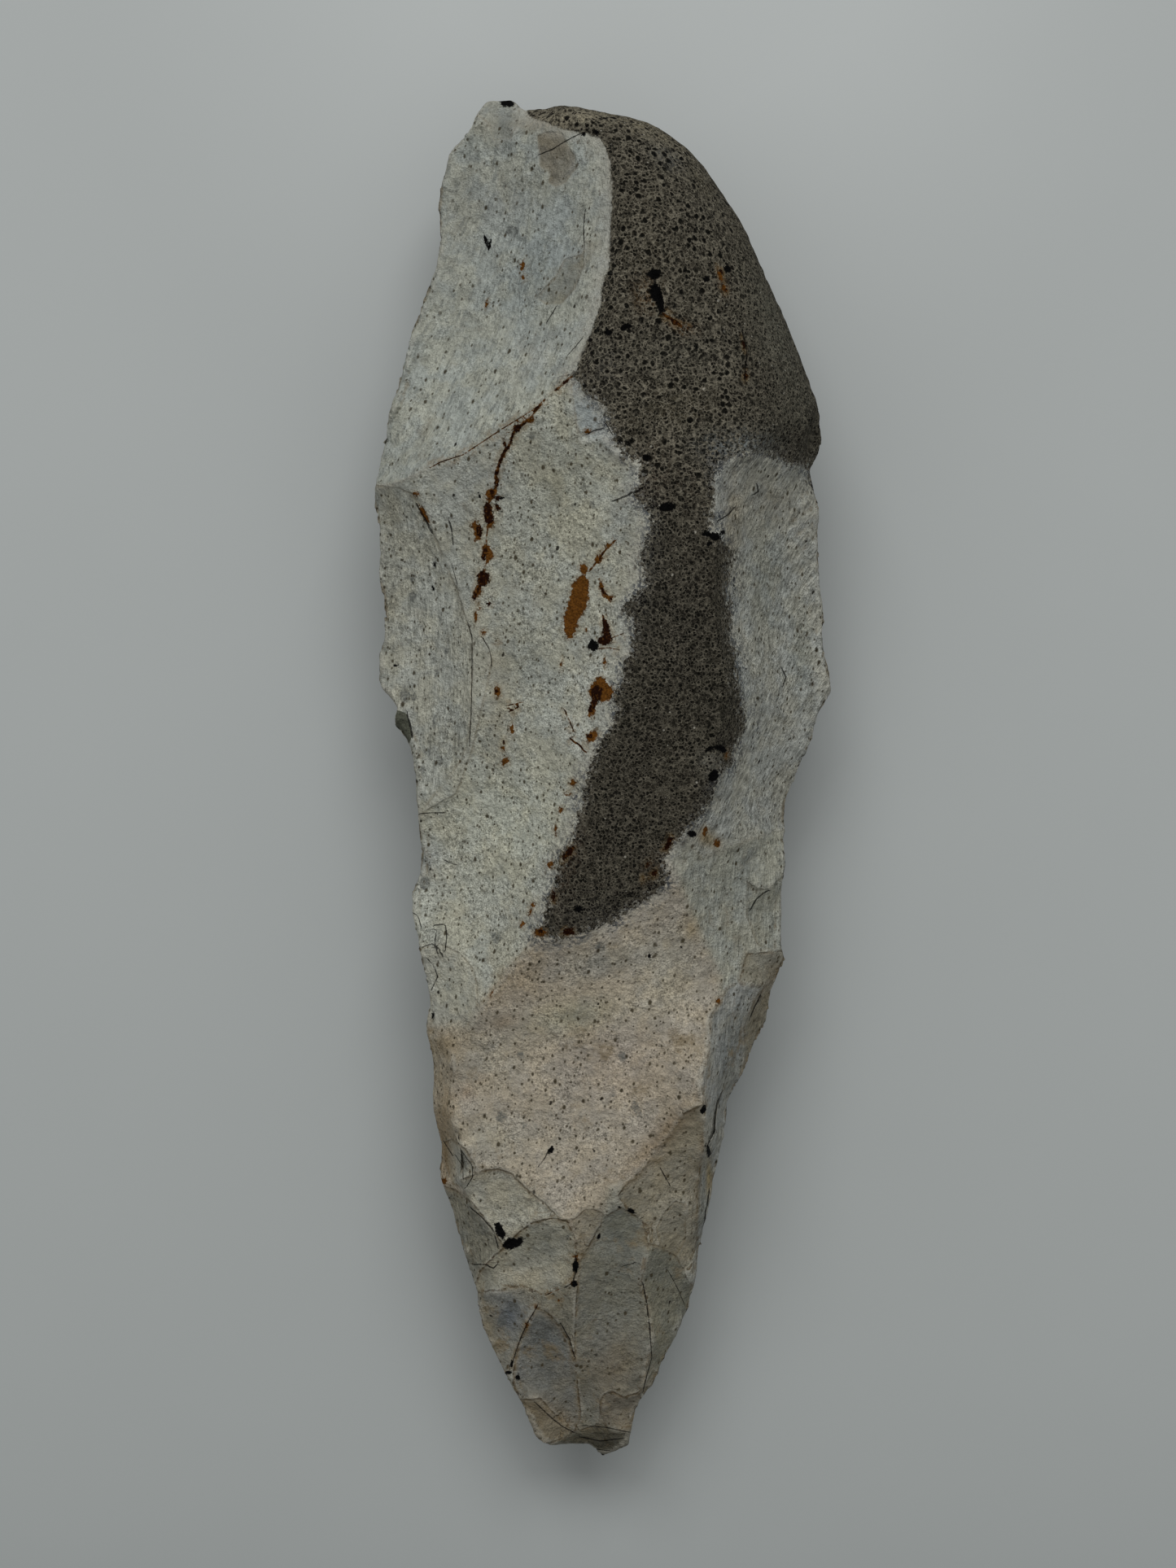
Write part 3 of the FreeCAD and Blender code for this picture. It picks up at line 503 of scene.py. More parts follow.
# Fine rust lines
RUST_VEINS = (
    Vein(((701, 464), (692, 472), (684, 479)), 2.0),
    Vein(((668, 492), (660, 502), (651, 513), (642, 521), (635, 526), (629, 538), (624, 550),
          (617, 562), (612, 573), (609, 585), (610, 598), (604, 610), (600, 622)), 2.2),
    Vein(((600, 645), (598, 660), (598, 672)), 1.2),
    Vein(((599, 690), (595, 700), (594, 712), (588, 724), (583, 736)), 1.8),
    Vein(((724, 701), (731, 694), (737, 686), (744, 676), (756, 664)), 1.5),
    Vein(((735, 711), (739, 721), (742, 729), (750, 736)), 1.8),
    Vein(((741, 757), (743, 768), (747, 782)), 1.5), Vein(((737, 797), (748, 796), (759, 798)), 0.7),
    Vein(((752, 784), (764, 779)), 0.8), Vein(((694, 873), (700, 887), (705, 898)), 1.0),
    Vein(((701, 908), (711, 915), (719, 924)), 1.3), Vein(((815, 385), (830, 396), (844, 405)), 2.0),
    Vein(((625, 867), (633, 865), (641, 863)), 0.8), Vein(((627, 874), (637, 869)), 1.2),
    Vein(((660, 500), (640, 513), (614, 529), (569, 559), (541, 568), (530, 574)), 0.8),
    Vein(((690, 1583), (672, 1591)), 0.7),
)

# Black hairlines: cracks and slits, and one painted shadow line beside the glassy break
INK_AND_SHADOW_VEINS = (
    Vein(((512, 620), (518, 631), (525, 643), (531, 654)), 1.5),
    Vein(((912, 407), (918, 431), (916, 448), (915, 466)), 1.1),
    Vein(((804, 340), (806, 352), (812, 370)), 2.0), Vein(((551, 638), (555, 651), (557, 669)), 0.9),
    Vein(((718, 1752), (730, 1753), (743, 1754), (773, 1760)), 0.6),
    Vein(((714, 1766), (738, 1771), (764, 1768)), 0.7), Vein(((726, 1780), (748, 1783)), 0.6),
    Vein(((721, 534), (730, 529), (739, 527)), 0.9), Vein(((744, 520), (752, 533)), 0.6),
    Vein(((555, 693), (562, 719)), 0.5), Vein(((719, 258), (717, 279), (718, 302)), 0.7),
    Vein(((683, 378), (672, 396)), 0.6), Vein(((716, 415), (707, 426), (697, 437)), 0.5),
    Vein(((754, 616), (768, 610), (786, 603)), 1.1), Vein(((774, 606), (792, 598)), 0.8),
    Vein(((663, 190), (680, 183), (694, 174), (712, 165)), 0.8),
    Vein(((812, 1437), (817, 1446), (823, 1456)), 0.8),
    Vein(((658, 1724), (677, 1742), (691, 1753), (706, 1761)), 0.7),
    Vein(((707, 1544), (709, 1552), (707, 1565), (704, 1576), (695, 1582)), 0.9),
    Vein(((661, 1604), (648, 1626), (641, 1642), (636, 1655), (630, 1674)), 0.7),
    Vein(((790, 1577), (794, 1599), (798, 1627), (799, 1643)), 0.9),
    Vein(((799, 1643), (801, 1668), (795, 1690), (790, 1709)), 0.6),
    Vein(((583, 1554), (597, 1554), (606, 1559), (610, 1555)), 0.8),
    Vein(((872, 1462), (867, 1490), (864, 1512), (862, 1534)), 0.9),
    Vein(((534, 1137), (547, 1136), (549, 1150), (547, 1170), (538, 1173), (534, 1160),
          (536, 1146)), 0.7),
    Vein(((521, 1163), (531, 1160), (540, 1166), (544, 1176)), 0.6),
    Vein(((506, 1121), (514, 1126), (518, 1141)), 0.6),
    Vein(((525, 1178), (532, 1186), (538, 1200), (531, 1215)), 0.7),
    Vein(((568, 1416), (580, 1432), (581, 1446), (573, 1459)), 0.6),
    Vein(((560, 1420), (569, 1434), (569, 1448)), 0.5), Vein(((545, 1402), (556, 1420)), 0.6),
    Vein(((578, 1484), (592, 1496), (606, 1512), (612, 1532)), 0.8),
    Vein(((516, 1000), (530, 999), (545, 999)), 0.6), Vein(((546, 1057), (560, 1063)), 0.6),
    Vein(((575, 767), (580, 783), (580, 821), (579, 875), (577, 912)), 0.6),
    Vein(((593, 784), (601, 797), (604, 810), (604, 820)), 0.6),
    Vein(((690, 1628), (700, 1646), (706, 1668)), 0.8), Vein(((765, 1556), (780, 1552)), 0.5),
    Vein(((820, 1560), (832, 1582), (841, 1603)), 0.45),
    # Painted shadow: the first line here is black shade along the right side of the glassy break
    Vein(((500, 877), (504, 891), (507, 906)), 1.4), Vein(((883, 640), (895, 632), (902, 624)), 1.0),
    Vein(((930, 596), (932, 604), (926, 608)), 0.9), Vein(((935, 1222), (926, 1240), (921, 1254)), 1.0),
    Vein(((944, 1094), (930, 1104), (922, 1118)), 0.9), Vein(((960, 820), (966, 832), (962, 842)), 0.9),
    Vein(((662, 1433), (669, 1424), (674, 1414)), 0.7),
)

# The natural break at the left margin that shows green glassy stone
GLASSY_BREAK = (
    ((488, 872), (500, 877), (504, 891), (507, 904), (503, 913), (492, 904), (483, 895),
     (485, 885)),
)

# The rind's place in the list of scars, and the distance of what is nowhere near, in mm and px
RIND_OWNER = len(SCARS) - 1
FAR_MM = 9.0
FAR_PX = 99.0

# The four neighbours of a cell, each as a shift and the axis that it goes along
SIDES = ((1, 0), (-1, 0), (1, 1), (-1, 1))


def linear(colour: Colour) -> Tint:
    """Turn a screen colour into the scene's own linear one.

    Args:
        colour: Red, green and blue from 0 to 255, as a screen shows them.

    Returns:
        The linear colour, with full cover.
    """
    shares = [channel / 255 for channel in colour]
    values = [c / 12.92 if c <= 0.04045 else ((c + 0.055) / 1.055) ** 2.4 for c in shares]
    return (values[0], values[1], values[2], 1.0)


def tone_of(colour: Colour) -> np.ndarray:
    """Turn a screen colour into its three linear numbers."""
    return np.array(linear(colour)[:3])


def smooth_step(values: np.ndarray, low: float, high: float) -> np.ndarray:
    """Rise smoothly from 0 at low to 1 at high."""
    share = np.clip((values - low) / (high - low), 0, 1)
    return share * share * (3 - 2 * share)


def smooth_fall(values: np.ndarray, low: float, high: float) -> np.ndarray:
    """Fall smoothly from 1 at low to 0 at high."""
    return smooth_step(-values, -high, -low)


def wave_noise(points: np.ndarray, shortest: float, longest: float, seed: int,
               count: int = 36) -> np.ndarray:
    """Add up plane waves of many lengths and ways into an even, smooth noise.

    Args:
        points: Places, one row each, in millimetres.
        shortest: Shortest wave length, in millimetres.
        longest: Longest wave length, in millimetres.
        seed: Choice of waves.
        count: Number of waves.

    Returns:
        One value for each place, of about unit spread.
    """
    chance = np.random.RandomState(seed)
    total = np.zeros(len(points))
    for _ in range(count):
        way = chance.normal(size=points.shape[1])
        length = shortest * (longest / shortest) ** chance.rand()
        way = way / np.linalg.norm(way) * (2 * math.pi / length)
        total += np.sin(points @ way + chance.rand() * 2 * math.pi)
    return total / math.sqrt(count / 2)


def border_distance(pixels: np.ndarray, border: Border) -> np.ndarray:
    """Give how far each pixel lies outside a closed border, negative inside it.

    Args:
        pixels: Photograph pixels, one row each.
        border: Corners of the border.

    Returns:
        Signed distances, in pixels.
    """
    nearest = np.full(len(pixels), np.inf)
    inside = np.zeros(len(pixels), bool)
    corners = np.array(border, float)
    for start, end in zip(corners, np.roll(corners, -1, axis=0)):
        run = end - start
        offset = pixels - start
        along = np.clip(offset @ run / (run @ run), 0, 1)
        away = offset - along[:, None] * run
        nearest = np.minimum(nearest, np.einsum("ij,ij->i", away, away))
        crosses = (start[1] > pixels[:, 1]) != (end[1] > pixels[:, 1])
        if start[1] != end[1]:
            reach = start[0] + run[0] * (pixels[:, 1] - start[1]) / run[1]
            inside ^= crosses & (pixels[:, 0] < reach)
    return np.where(inside, -1, 1) * np.sqrt(nearest)


def tilted_offset(pixels: np.ndarray, mark: Blot | Spot) -> tuple[np.ndarray, np.ndarray]:
    """Measure each pixel's place from a mark's middle.

    Args:
        pixels: Photograph pixels, one row each.
        mark: A mark with a middle, two half sizes and a tilt.

    Returns:
        The places across and along the mark, in its half sizes.
    """
    right, down = pixels[:, 0] - mark.column, pixels[:, 1] - mark.row
    cosine, sine = math.cos(math.radians(mark.tilt)), math.sin(math.radians(mark.tilt))
    return ((right * cosine - down * sine) / mark.across,
            (right * sine + down * cosine) / mark.along)


def spot_distance(pixels: np.ndarray, spots: tuple[Spot, ...]) -> np.ndarray:
    """Give how far each pixel lies outside the nearest of some small marks, in millimetres."""
    nearest = np.full(len(pixels), FAR_MM)
    for spot in spots:
        beyond = np.hypot(*tilted_offset(pixels, spot)) - 1
        size = math.sqrt(spot.across * spot.along)
        nearest = np.minimum(nearest, beyond * size / PX_PER_MM)
    return nearest


def patch_distance(pixels: np.ndarray, patches: tuple[Border, ...]) -> np.ndarray:
    """Give how far each pixel lies outside the nearest of some patches, in millimetres."""
    nearest = np.full(len(pixels), FAR_MM)
    for corners in patches:
        nearest = np.minimum(nearest, border_distance(pixels, corners) / PX_PER_MM)
    return nearest


def blot_over(pixels: np.ndarray, tone: np.ndarray, blots: tuple[Blot, ...]) -> np.ndarray:
    """Lay soft patches over the tones.

    Args:
        pixels: Photograph pixels, one row each.
        tone: Linear colours, one row each.
        blots: The patches, the lowest first.

    Returns:
        The new colours.
    """
    for blot in blots:
        across, along = tilted_offset(pixels, blot)
        cover = (np.exp(-(across ** 2 + along ** 2)) * blot.share)[:, None]
        tone = tone * (1 - cover) + tone_of(blot.colour) * cover
    return tone


def vein_reach(pixels: np.ndarray, veins: tuple[Vein, ...]) -> tuple[np.ndarray, np.ndarray]:
    """Give where each pixel lies beside the nearest of some fine lines.

    The first value changes its sign across a line, so that it stays sharp between the
    corners of a mesh that is coarser than the line.

    Args:
        pixels: Photograph pixels, one row each.
        veins: The lines.

    Returns:
        The signed distance in half widths, up to 8, and a mask that is 1 near the lines.
    """
    most = 8.0
    nearest = np.full(len(pixels), FAR_PX)
    signed = np.full(len(pixels), most)
    beyond = np.zeros(len(pixels))
    for vein in veins:
        corners = np.array(vein.path, float)
        last = len(corners) - 2
        for number, (start, end) in enumerate(zip(corners, corners[1:])):
            run = end - start
            length = np.linalg.norm(run)
            offset = pixels - start
            along = offset @ run / length
            side = (offset[:, 0] * run[1] - offset[:, 1] * run[0]) / length
            foot = np.clip(along, 0, length)
            away = np.hypot(along - foot, side)
            closer = away < nearest
            nearest = np.where(closer, away, nearest)
            reach = np.clip(np.where(side < 0, -away, away) / vein.half_width, -most, most)
            signed = np.where(closer, reach, signed)
            over = np.abs(along - foot)
            open_end = ((along < 0) & (number == 0)) | ((along > length) & (number == last))
            beyond = np.where(closer, np.where(open_end, over, 0), beyond)
    near = smooth_fall(nearest, 6, 10) * smooth_fall(beyond, 1, 4)
    return signed, near


@dataclass(frozen=True)
class PhotoView:
    """The photograph's point of view, straight above the stone; lengths are in metres."""

    place: tuple[float, float, float] = (-0.00171, -0.00032, 0.400)
    edge_height: float = 0.0125

    @property
    def focal_px(self) -> float:
        """Focal length in photograph pixels."""
        return PX_PER_MM / MM * (self.place[2] - self.edge_height)

    def project(self, points: np.ndarray) -> np.ndarray:
        """Give the photograph pixel of each place.

        Args:
            points: Places in the frame, one row each.

        Returns:
            Columns and rows, one pair for each place.
        """
        reach = self.focal_px / (self.place[2] - points[:, 2])
        columns = PHOTO_PX[0] / 2 + (points[:, 0] - self.place[0]) * reach
        rows = PHOTO_PX[1] / 2 - (points[:, 1] - self.place[1]) * reach
        return np.stack([columns, rows], axis=1)

    def look(self, pixel: Pixel) -> Vector:
        """Give the way in which the camera sees a photograph pixel."""
        across = (pixel[0] - PHOTO_PX[0] / 2) / self.focal_px
        down = (pixel[1] - PHOTO_PX[1] / 2) / self.focal_px
        return Vector((across, -down, -1.0)).normalized()

    def make_camera(self) -> None:
        """Stand the scene's camera at the photograph's viewpoint."""
        data = bpy.data.cameras.new("photo_camera")
        data.sensor_width = 36.0
        data.lens = self.focal_px / max(PHOTO_PX) * data.sensor_width
        data.clip_start = 0.01
        camera = bpy.data.objects.new("photo_camera", data)
        camera.location = self.place
        bpy.context.scene.collection.objects.link(camera)
        bpy.context.scene.camera = camera


@dataclass
class Relief:
    """The upper face as heights over photograph pixels, with the scars' own borders as its ridges."""

    view: PhotoView
    low: Pixel = (440.0, 100.0)
    high: Pixel = (1042.0, 1822.0)
    cell_px: float = 3.0
    rim_px: float = 2.0
    inner_px: float = 10.0
    coarse_steps: tuple[int, ...] = (8, 4, 2, 1)
    rounds: int = 260
    columns: np.ndarray = field(init=False)
    rows: np.ndarray = field(init=False)
    found: np.ndarray = field(init=False)
    cast_height: np.ndarray = field(init=False)
    height: np.ndarray = field(init=False)
    cover: np.ndarray = field(init=False)

    def cast(self, mesh: bpy.types.Mesh) -> None:
        """Read the heights of the stone under each cell of the map.

        Args:
            mesh: The stone's mesh, in the frame.
        """
        work = bmesh.new()
        work.from_mesh(mesh)
        tree = BVHTree.FromBMesh(work)
        work.free()
        self.columns = np.arange(self.low[0], self.high[0], self.cell_px)
        self.rows = np.arange(self.low[1], self.high[1], self.cell_px)
        self.cast_height = np.full((len(self.rows), len(self.columns)), np.nan)
        eye = Vector(self.view.place)
        for row_index, row in enumerate(self.rows):
            for column_index, column in enumerate(self.columns):
                hit = tree.ray_cast(eye, self.view.look((column, row)))[0]
                if hit is not None:
                    self.cast_height[row_index, column_index] = hit.z / MM
        self.found = ~np.isnan(self.cast_height)

    def scar_map(self) -> np.ndarray:
        """Give for each cell the index of the last scar that holds it, or -1."""
        grid = np.stack(np.meshgrid(self.columns, self.rows), axis=-1).reshape(-1, 2)
        owner = np.full(len(grid), -1)
        for index, scar in enumerate(SCARS):
            corners = np.array(scar.border)
            near = np.all((grid > corners.min(0)) & (grid < corners.max(0)), axis=1)
            held = near.copy()
            held[near] = border_distance(grid[near], scar.border) < 0
            owner[held] = index
        return owner.reshape(self.found.shape)

    def solve(self) -> None:
        """Hollow each scar between its borders and keep the stone's own heights along them."""
        owner = self.scar_map()
        edge = np.zeros_like(self.found)
        for shift, axis in SIDES:
            edge |= np.roll(owner, shift, axis) != owner
            edge |= ~np.roll(self.found, shift, axis)
        curve = np.zeros(owner.shape)
        drop = np.zeros(owner.shape)
        for index, scar in enumerate(SCARS):
            if scar.hollow > 0:
                curve[owner == index] = 2 / scar.hollow
            drop[owner == index] = scar.step
        bare = (owner == -1) | (owner == RIND_OWNER)
        fixed = self.found & (edge | bare)
        base = np.where(self.found, self.cast_height, 0) - np.where(fixed & ~bare, drop, 0)
        fixed |= ~self.found
        self.height = self.settle(base, fixed, curve)
        self.cover = smooth_step(self.inwards(), self.rim_px, self.inner_px)

    def settle(self, base: np.ndarray, fixed: np.ndarray, curve: np.ndarray) -> np.ndarray:
        """Let the free cells sink to the asked hollow, first on coarse maps and then on the full one.

        Args:
            base: Heights of the fixed cells, in millimetres.
            fixed: Cells whose height stays.
            curve: Sum of the two curvatures that is asked of each cell, per millimetre.

        Returns:
            The settled heights.
        """
        guess = base.copy()
        for coarse in self.coarse_steps:
            held, total, start, bend = (self.blocks(values, coarse) for values in (
                fixed.astype(float), base * fixed, guess, curve))
            stay = held > 0
            heights = np.where(stay, total / np.maximum(held, 1), start / coarse ** 2)
            bend = bend / coarse ** 2
            cell = coarse * self.cell_px / PX_PER_MM
            for _ in range(self.rounds):
                around = sum(np.roll(heights, shift, axis) for shift, axis in SIDES)
                free = around / 4 - bend * cell * cell / 4
                heights = np.where(stay, heights, free)
            fine = np.kron(heights, np.ones((coarse, coarse)))[:base.shape[0], :base.shape[1]]
            guess = np.where(fixed, base, fine)
        return guess

    @staticmethod
    def blocks(values: np.ndarray, size: int) -> np.ndarray:
        """Add up square blocks of cells, after a widening of the map to whole blocks."""
        spread = [(0, -cells % size) for cells in values.shape]
        values = np.pad(values, spread, mode="edge")
        tall, wide = values.shape
        return values.reshape(tall // size, size, wide // size, size).sum(axis=(1, 3))

    def inwards(self) -> np.ndarray:
        """Give how far each cell lies inside the stone's rim, in pixels, up to a little more than asked."""
        depth = np.zeros(self.found.shape)
        inside = self.found.copy()
        for turn in range(int(self.inner_px / self.cell_px) + 2):
            depth += inside * self.cell_px
            smaller = inside.copy()
            for shift, axis in SIDES:
                smaller &= np.roll(inside, shift, axis)
            if turn % 2:
                for corner in ((1, 1), (1, -1), (-1, 1), (-1, -1)):
                    smaller &= np.roll(inside, corner, (0, 1))
            inside = smaller
        return depth

    def sample(self, values: np.ndarray, pixels: np.ndarray) -> np.ndarray:
        """Read a map between its cells.

        Args:
            values: One value for each cell.
            pixels: Photograph pixels, one row each.

        Returns:
            The blended value at each pixel.
        """
        across = np.clip((pixels[:, 0] - self.low[0]) / self.cell_px, 0, len(self.columns) - 1.001)
        down = np.clip((pixels[:, 1] - self.low[1]) / self.cell_px, 0, len(self.rows) - 1.001)
        left, top = across.astype(int), down.astype(int)
        u, v = across - left, down - top
        upper = values[top, left] * (1 - u) + values[top, left + 1] * u
        lower = values[top + 1, left] * (1 - u) + values[top + 1, left + 1] * u
        return upper * (1 - v) + lower * v


@dataclass(frozen=True)
class Cloud:
    """A cloudy noise: size in millimetres, detail, and where a mask of it starts and is full."""

    size: float
    detail: float = 2.0
    rough: float = 0.5
    start: float = 0.0
    full: float = 1.0


@dataclass(frozen=True)
class Band:
    """A strip beside a line: where it starts, is full, begins to fade and ends."""

    start: float
    full: float
    fade: float
    end: float


@dataclass(frozen=True)
class Fray:
    """A ragged edge: size and reach of its tatters and its soft rim, in millimetres."""

    size: float
    reach: float
    rim: Span


@dataclass(frozen=True)
class Specks:
    """Scattered grains: spacing in millimetres, radii as shares of it, cover and colour."""

    spacing: float
    radii: Span
    cover: float
    colour: Colour


@dataclass(frozen=True)
class Pits:
    """Scattered round pits: spacing in millimetres, least and greatest radius as shares of it."""

    spacing: float
    radii: Span


def both_ways(operation: str) -> tuple[Callable, Callable]:
    """Make the two methods that let a wire stand before or after a sign of arithmetic.

    Args:
        operation: The sum that the sign stands for.

    Returns:
        The method for a wire before the sign, and the one for a wire after it.
    """
    def before(wire: "Wire", other: "Wire | float") -> "Wire":
        """Add the sum of this wire and another value."""
        return wire.graph.maths(operation, wire, other)

    def after(wire: "Wire", other: float) -> "Wire":
        """Add the sum of a number and this wire."""
        return wire.graph.maths(operation, other, wire)

    return before, after


class Wire:
    """One value of a material that takes part in sums as a number would."""

    def __init__(self, graph: "Graph", socket: bpy.types.NodeSocket) -> None:
        """Keep the socket that gives the value and the graph that it belongs to."""
        self.graph = graph
        self.socket = socket

    __add__, __radd__ = both_ways("ADD")
    __sub__, __rsub__ = both_ways("SUBTRACT")
    __mul__, __rmul__ = both_ways("MULTIPLY")
    __truediv__, __rtruediv__ = both_ways("DIVIDE")

    def least(self, other: "Wire | float") -> "Wire":
        """Take the smaller of two values."""
        return self.graph.maths("MINIMUM", self, other)

    def most(self, other: "Wire | float") -> "Wire":
        """Take the larger of two values."""
        return self.graph.maths("MAXIMUM", self, other)

    def rise(self, low: float, high: float) -> "Wire":
        """Rise smoothly from 0 at low to 1 at high; a fall has low above high."""
        if low > high:
            return 1 - self.rise(high, low)
        settings = {"interpolation_type": "SMOOTHSTEP"}
        return self.graph.node("ShaderNodeMapRange", settings,
                               {"Value": self, "From Min": low, "From Max": high})

    def between(self, low: float, high: float) -> "Wire":
        """Run evenly from low at 0 to high at 1."""
        return low + (high - low) * self

    def within(self, band: Band) -> "Wire":
        """Be 1 inside a band and fade to 0 beside it."""
        return self.rise(band.start, band.full) * self.rise(band.end, band.fade)


class Graph:
    """The nodes of one material."""

    def __init__(self, name: str) -> None:
        """Start a material with one shader.

        Args:
            name: The material's name.
        """
        self.material = bpy.data.materials.new(name)
        self.material.use_nodes = True
        self.nodes = self.material.node_tree.nodes
        self.links = self.material.node_tree.links
        self.shader = self.nodes["Principled BSDF"]

    def node(self, kind: str, settings: dict, values: dict, output: int | str = 0) -> Wire:
        """Add a node, choose its settings and then fill its sockets.

        Args:
            kind: The node's type.
            settings: The node's own properties, set first.
            values: Numbers, colours or wires by socket name or index.
            output: The socket that gives the result.

        Returns:
            The chosen output.
        """
        made = self.nodes.new(kind)
        for name, value in settings.items():
            setattr(made, name, value)
        for name, value in values.items():
            if isinstance(value, Wire):
                self.links.new(value.socket, made.inputs[name])
            else:
                made.inputs[name].default_value = value
        return Wire(self, made.outputs[output])

    def maths(self, operation: str, first: "Wire | float", second: "Wire | float") -> Wire:
        """Add a sum of two values."""
        return self.node("ShaderNodeMath", {"operation": operation}, {0: first, 1: second})

    def vector(self, operation: str, first: object, second: object, output: int = 0) -> Wire:
        """Add a sum of two vectors."""
        values = {0: first, 1: second}
        return self.node("ShaderNodeVectorMath", {"operation": operation}, values, output)

    def blend(self, share: "Wire | float", under: object, over: object, how: str = "MIX") -> Wire:
        """Lay one colour over another.

        Args:
            share: How much of the upper colour shows.
            under: The lower colour, as a wire or a linear colour.
            over: The upper colour.
            how: The way of mixing.

        Returns:
            The mixed colour.
        """
        settings = {"data_type": "RGBA", "blend_type": how}
        return self.node("ShaderNodeMix", settings, {0: share, 6: under, 7: over}, 2)

    def between(self, share: Wire, colour: Wire, tints: tuple[Tint, Tint]) -> Wire:
        """Multiply a colour by a tint that runs from the first of two to the second."""
        return self.blend(share, *(self.blend(1.0, colour, tint, "MULTIPLY") for tint in tints))

    def attribute(self, name: str, output: str = "Fac") -> Wire:
        """Read one of the piece's own attributes."""
        return self.node("ShaderNodeAttribute", {"attribute_name": name}, {}, output)

    def place(self) -> Wire:
        """Give the place on the piece, in millimetres."""
        metres = self.node("ShaderNodeTexCoord", {}, {}, "Object")
        return self.node("ShaderNodeVectorMath", {"operation": "SCALE"},
                         {0: metres, "Scale": 1 / MM})

    def noise(self, place: Wire, cloud: Cloud, output: int | str = 0) -> Wire:
        """Add a cloudy noise."""
        values = {"Vector": place, "Scale": 1 / cloud.size, "Detail": cloud.detail,
                  "Roughness": cloud.rough}
        return self.node("ShaderNodeTexNoise", {}, values, output)

    def mask(self, place: Wire, cloud: Cloud) -> Wire:
        """Add patches that are 1 where a cloudy noise is thick."""
        return self.noise(place, cloud).rise(cloud.start, cloud.full)

    def cells(self, place: Wire, size: float, output: str = "Distance",
              feature: str = "F1") -> Wire:
        """Add a pattern of scattered cells whose spacing is a size in millimetres."""
        return self.node("ShaderNodeTexVoronoi", {"feature": feature},
                         {"Vector": place, "Scale": 1 / size}, output)

    def channel(self, colour: Wire, number: int) -> Wire:
        """Take the red, green or blue part of a colour."""
        return self.node("ShaderNodeSeparateColor", {}, {0: colour}, number)


@dataclass(frozen=True)
class PatinaFinish:
    """The white skin of the flint: tones, clouds, how much each shows, heights in millimetres."""

    cream: Colour = (156, 154, 144)
    stain: Colour = (106, 93, 70)
    grey: Colour = (76, 78, 75)
    smudge: Colour = (92, 96, 93)
    dark_light: tuple[Tint, Tint] = ((0.55, 0.55, 0.53, 1), (1.72, 1.72, 1.70, 1))
    cool_warm: tuple[Tint, Tint] = ((0.97, 0.99, 1.015, 1), (1.03, 1.01, 0.96, 1))
    tints: Cloud = Cloud(3.6, 3.0, 0.6, 0.38, 0.62)
    cloud: Cloud = Cloud(6.5, 3.0)
    cloud_share: float = 0.45
    mottle: Cloud = Cloud(1.4, 4.0, 0.65)
    mottle_share: float = 0.85
    mottle_height: float = 0.32
    lump: Cloud = Cloud(1.0, 3.0, 0.6)
    lump_height: float = 0.50
    fine: Cloud = Cloud(0.42, 3.0, 0.7, 0.30, 0.60)
    fine_share: Span = (0.8, 1.9)
    fine_height: float = 0.24
    grit: Cloud = Cloud(0.17, 1.0)
    grit_share: Span = (0.7, 1.4)
    uneven: Cloud = Cloud(3.2, 2.0, 0.5, 0.32, 0.68)
    uneven_share: Span = (0.45, 1.35)
    streak: Cloud = Cloud(1.0, 3.0, 0.65)
    streak_size: Span = (0.42, 2.2)
    streak_height: float = 0.32
    grains: tuple[tuple[Grain, float], ...] = (
        (Grain.DOWN_LEFT, 0.9), (Grain.DIAGONAL, 2.0), (Grain.ALONG, 1.4))
    smudges: Cloud = Cloud(1.0, 2.0, 0.6, 0.55, 0.70)
    smudge_size: Span = (0.75, 1.7)
    smudge_share: Span = (0.12, 0.50)
    stains: Cloud = Cloud(4.5, 4.0, 0.7, 0.56, 0.74)
    stain_share: float = 0.7
    ridge: Span = (0.10, 0.75)
    ridge_share: float = 0.30
    valley: Span = (-0.12, -0.75)
    valley_share: float = 0.45
    grey_edge: Fray = Fray(0.45, 1.0, (0.14, -0.14))
    grey_share: float = 0.85
    roughness: float = 0.62
    shine: float = 0.03


@dataclass(frozen=True)
class SpeckFinish:
    """The dark grains in the white skin: their layers, lie and crowding, and their ragged rims."""

    layers: tuple[Specks, ...] = (
        Specks(0.95, (0.07, 0.28), 0.92, (54, 48, 34)),
        Specks(0.52, (0.11, 0.34), 0.85, (54, 48, 34)),
        Specks(1.90, (0.03, 0.12), 0.95, (26, 23, 17)),
    )
    tilt: float = 72.0
    along: float = 1.35
    crowding: Cloud = Cloud(6.0, 3.0)
    crowding_share: float = 1.5
    crowd_share: float = 0.60
    chosen: Span = (0.82, 0.98)
    dent_size: float = 0.4
    dent_reach: float = 0.5
    dent_share: float = 0.5
    rim: Span = (1.2, 0.5)
    depth: float = 0.04


@dataclass(frozen=True)
class SeamFinish:
    """The border of a scar: its step, a band of painted shade in the corner inside it, a painted highlight
    just outside it and bands of brown stain along it, in millimetres.
    """

    brown_line: Colour = (52, 38, 20)
    stray: Cloud = Cloud(1.1, 3.0, 0.6)
    stray_reach: float = 0.34
    step: Span = (-0.10, 0.12)
    step_height: float = 0.16
    patches: Cloud = Cloud(2.4, 3.0, 0.6)
    # painted shade in the corner just inside the border
    shade: Band = Band(-0.34, -0.06, 0.0, 0.10)
    shade_patches: Span = (0.34, 0.58)
    shade_share: float = 0.42
    # painted highlight just outside the border
    bright: Band = Band(0.02, 0.12, 0.16, 0.42)
    painted_highlight_share: float = 0.18
    brown: Band = Band(-0.24, -0.02, 0.0, 0.18)
    beads: Cloud = Cloud(0.6, 3.0, 0.7, 0.46, 0.55)
    brown_share: float = 0.9
    wash: Band = Band(-0.9, -0.05, 0.0, 0.7)
    wash_patches: Span = (0.40, 0.64)
    wash_share: float = 0.5


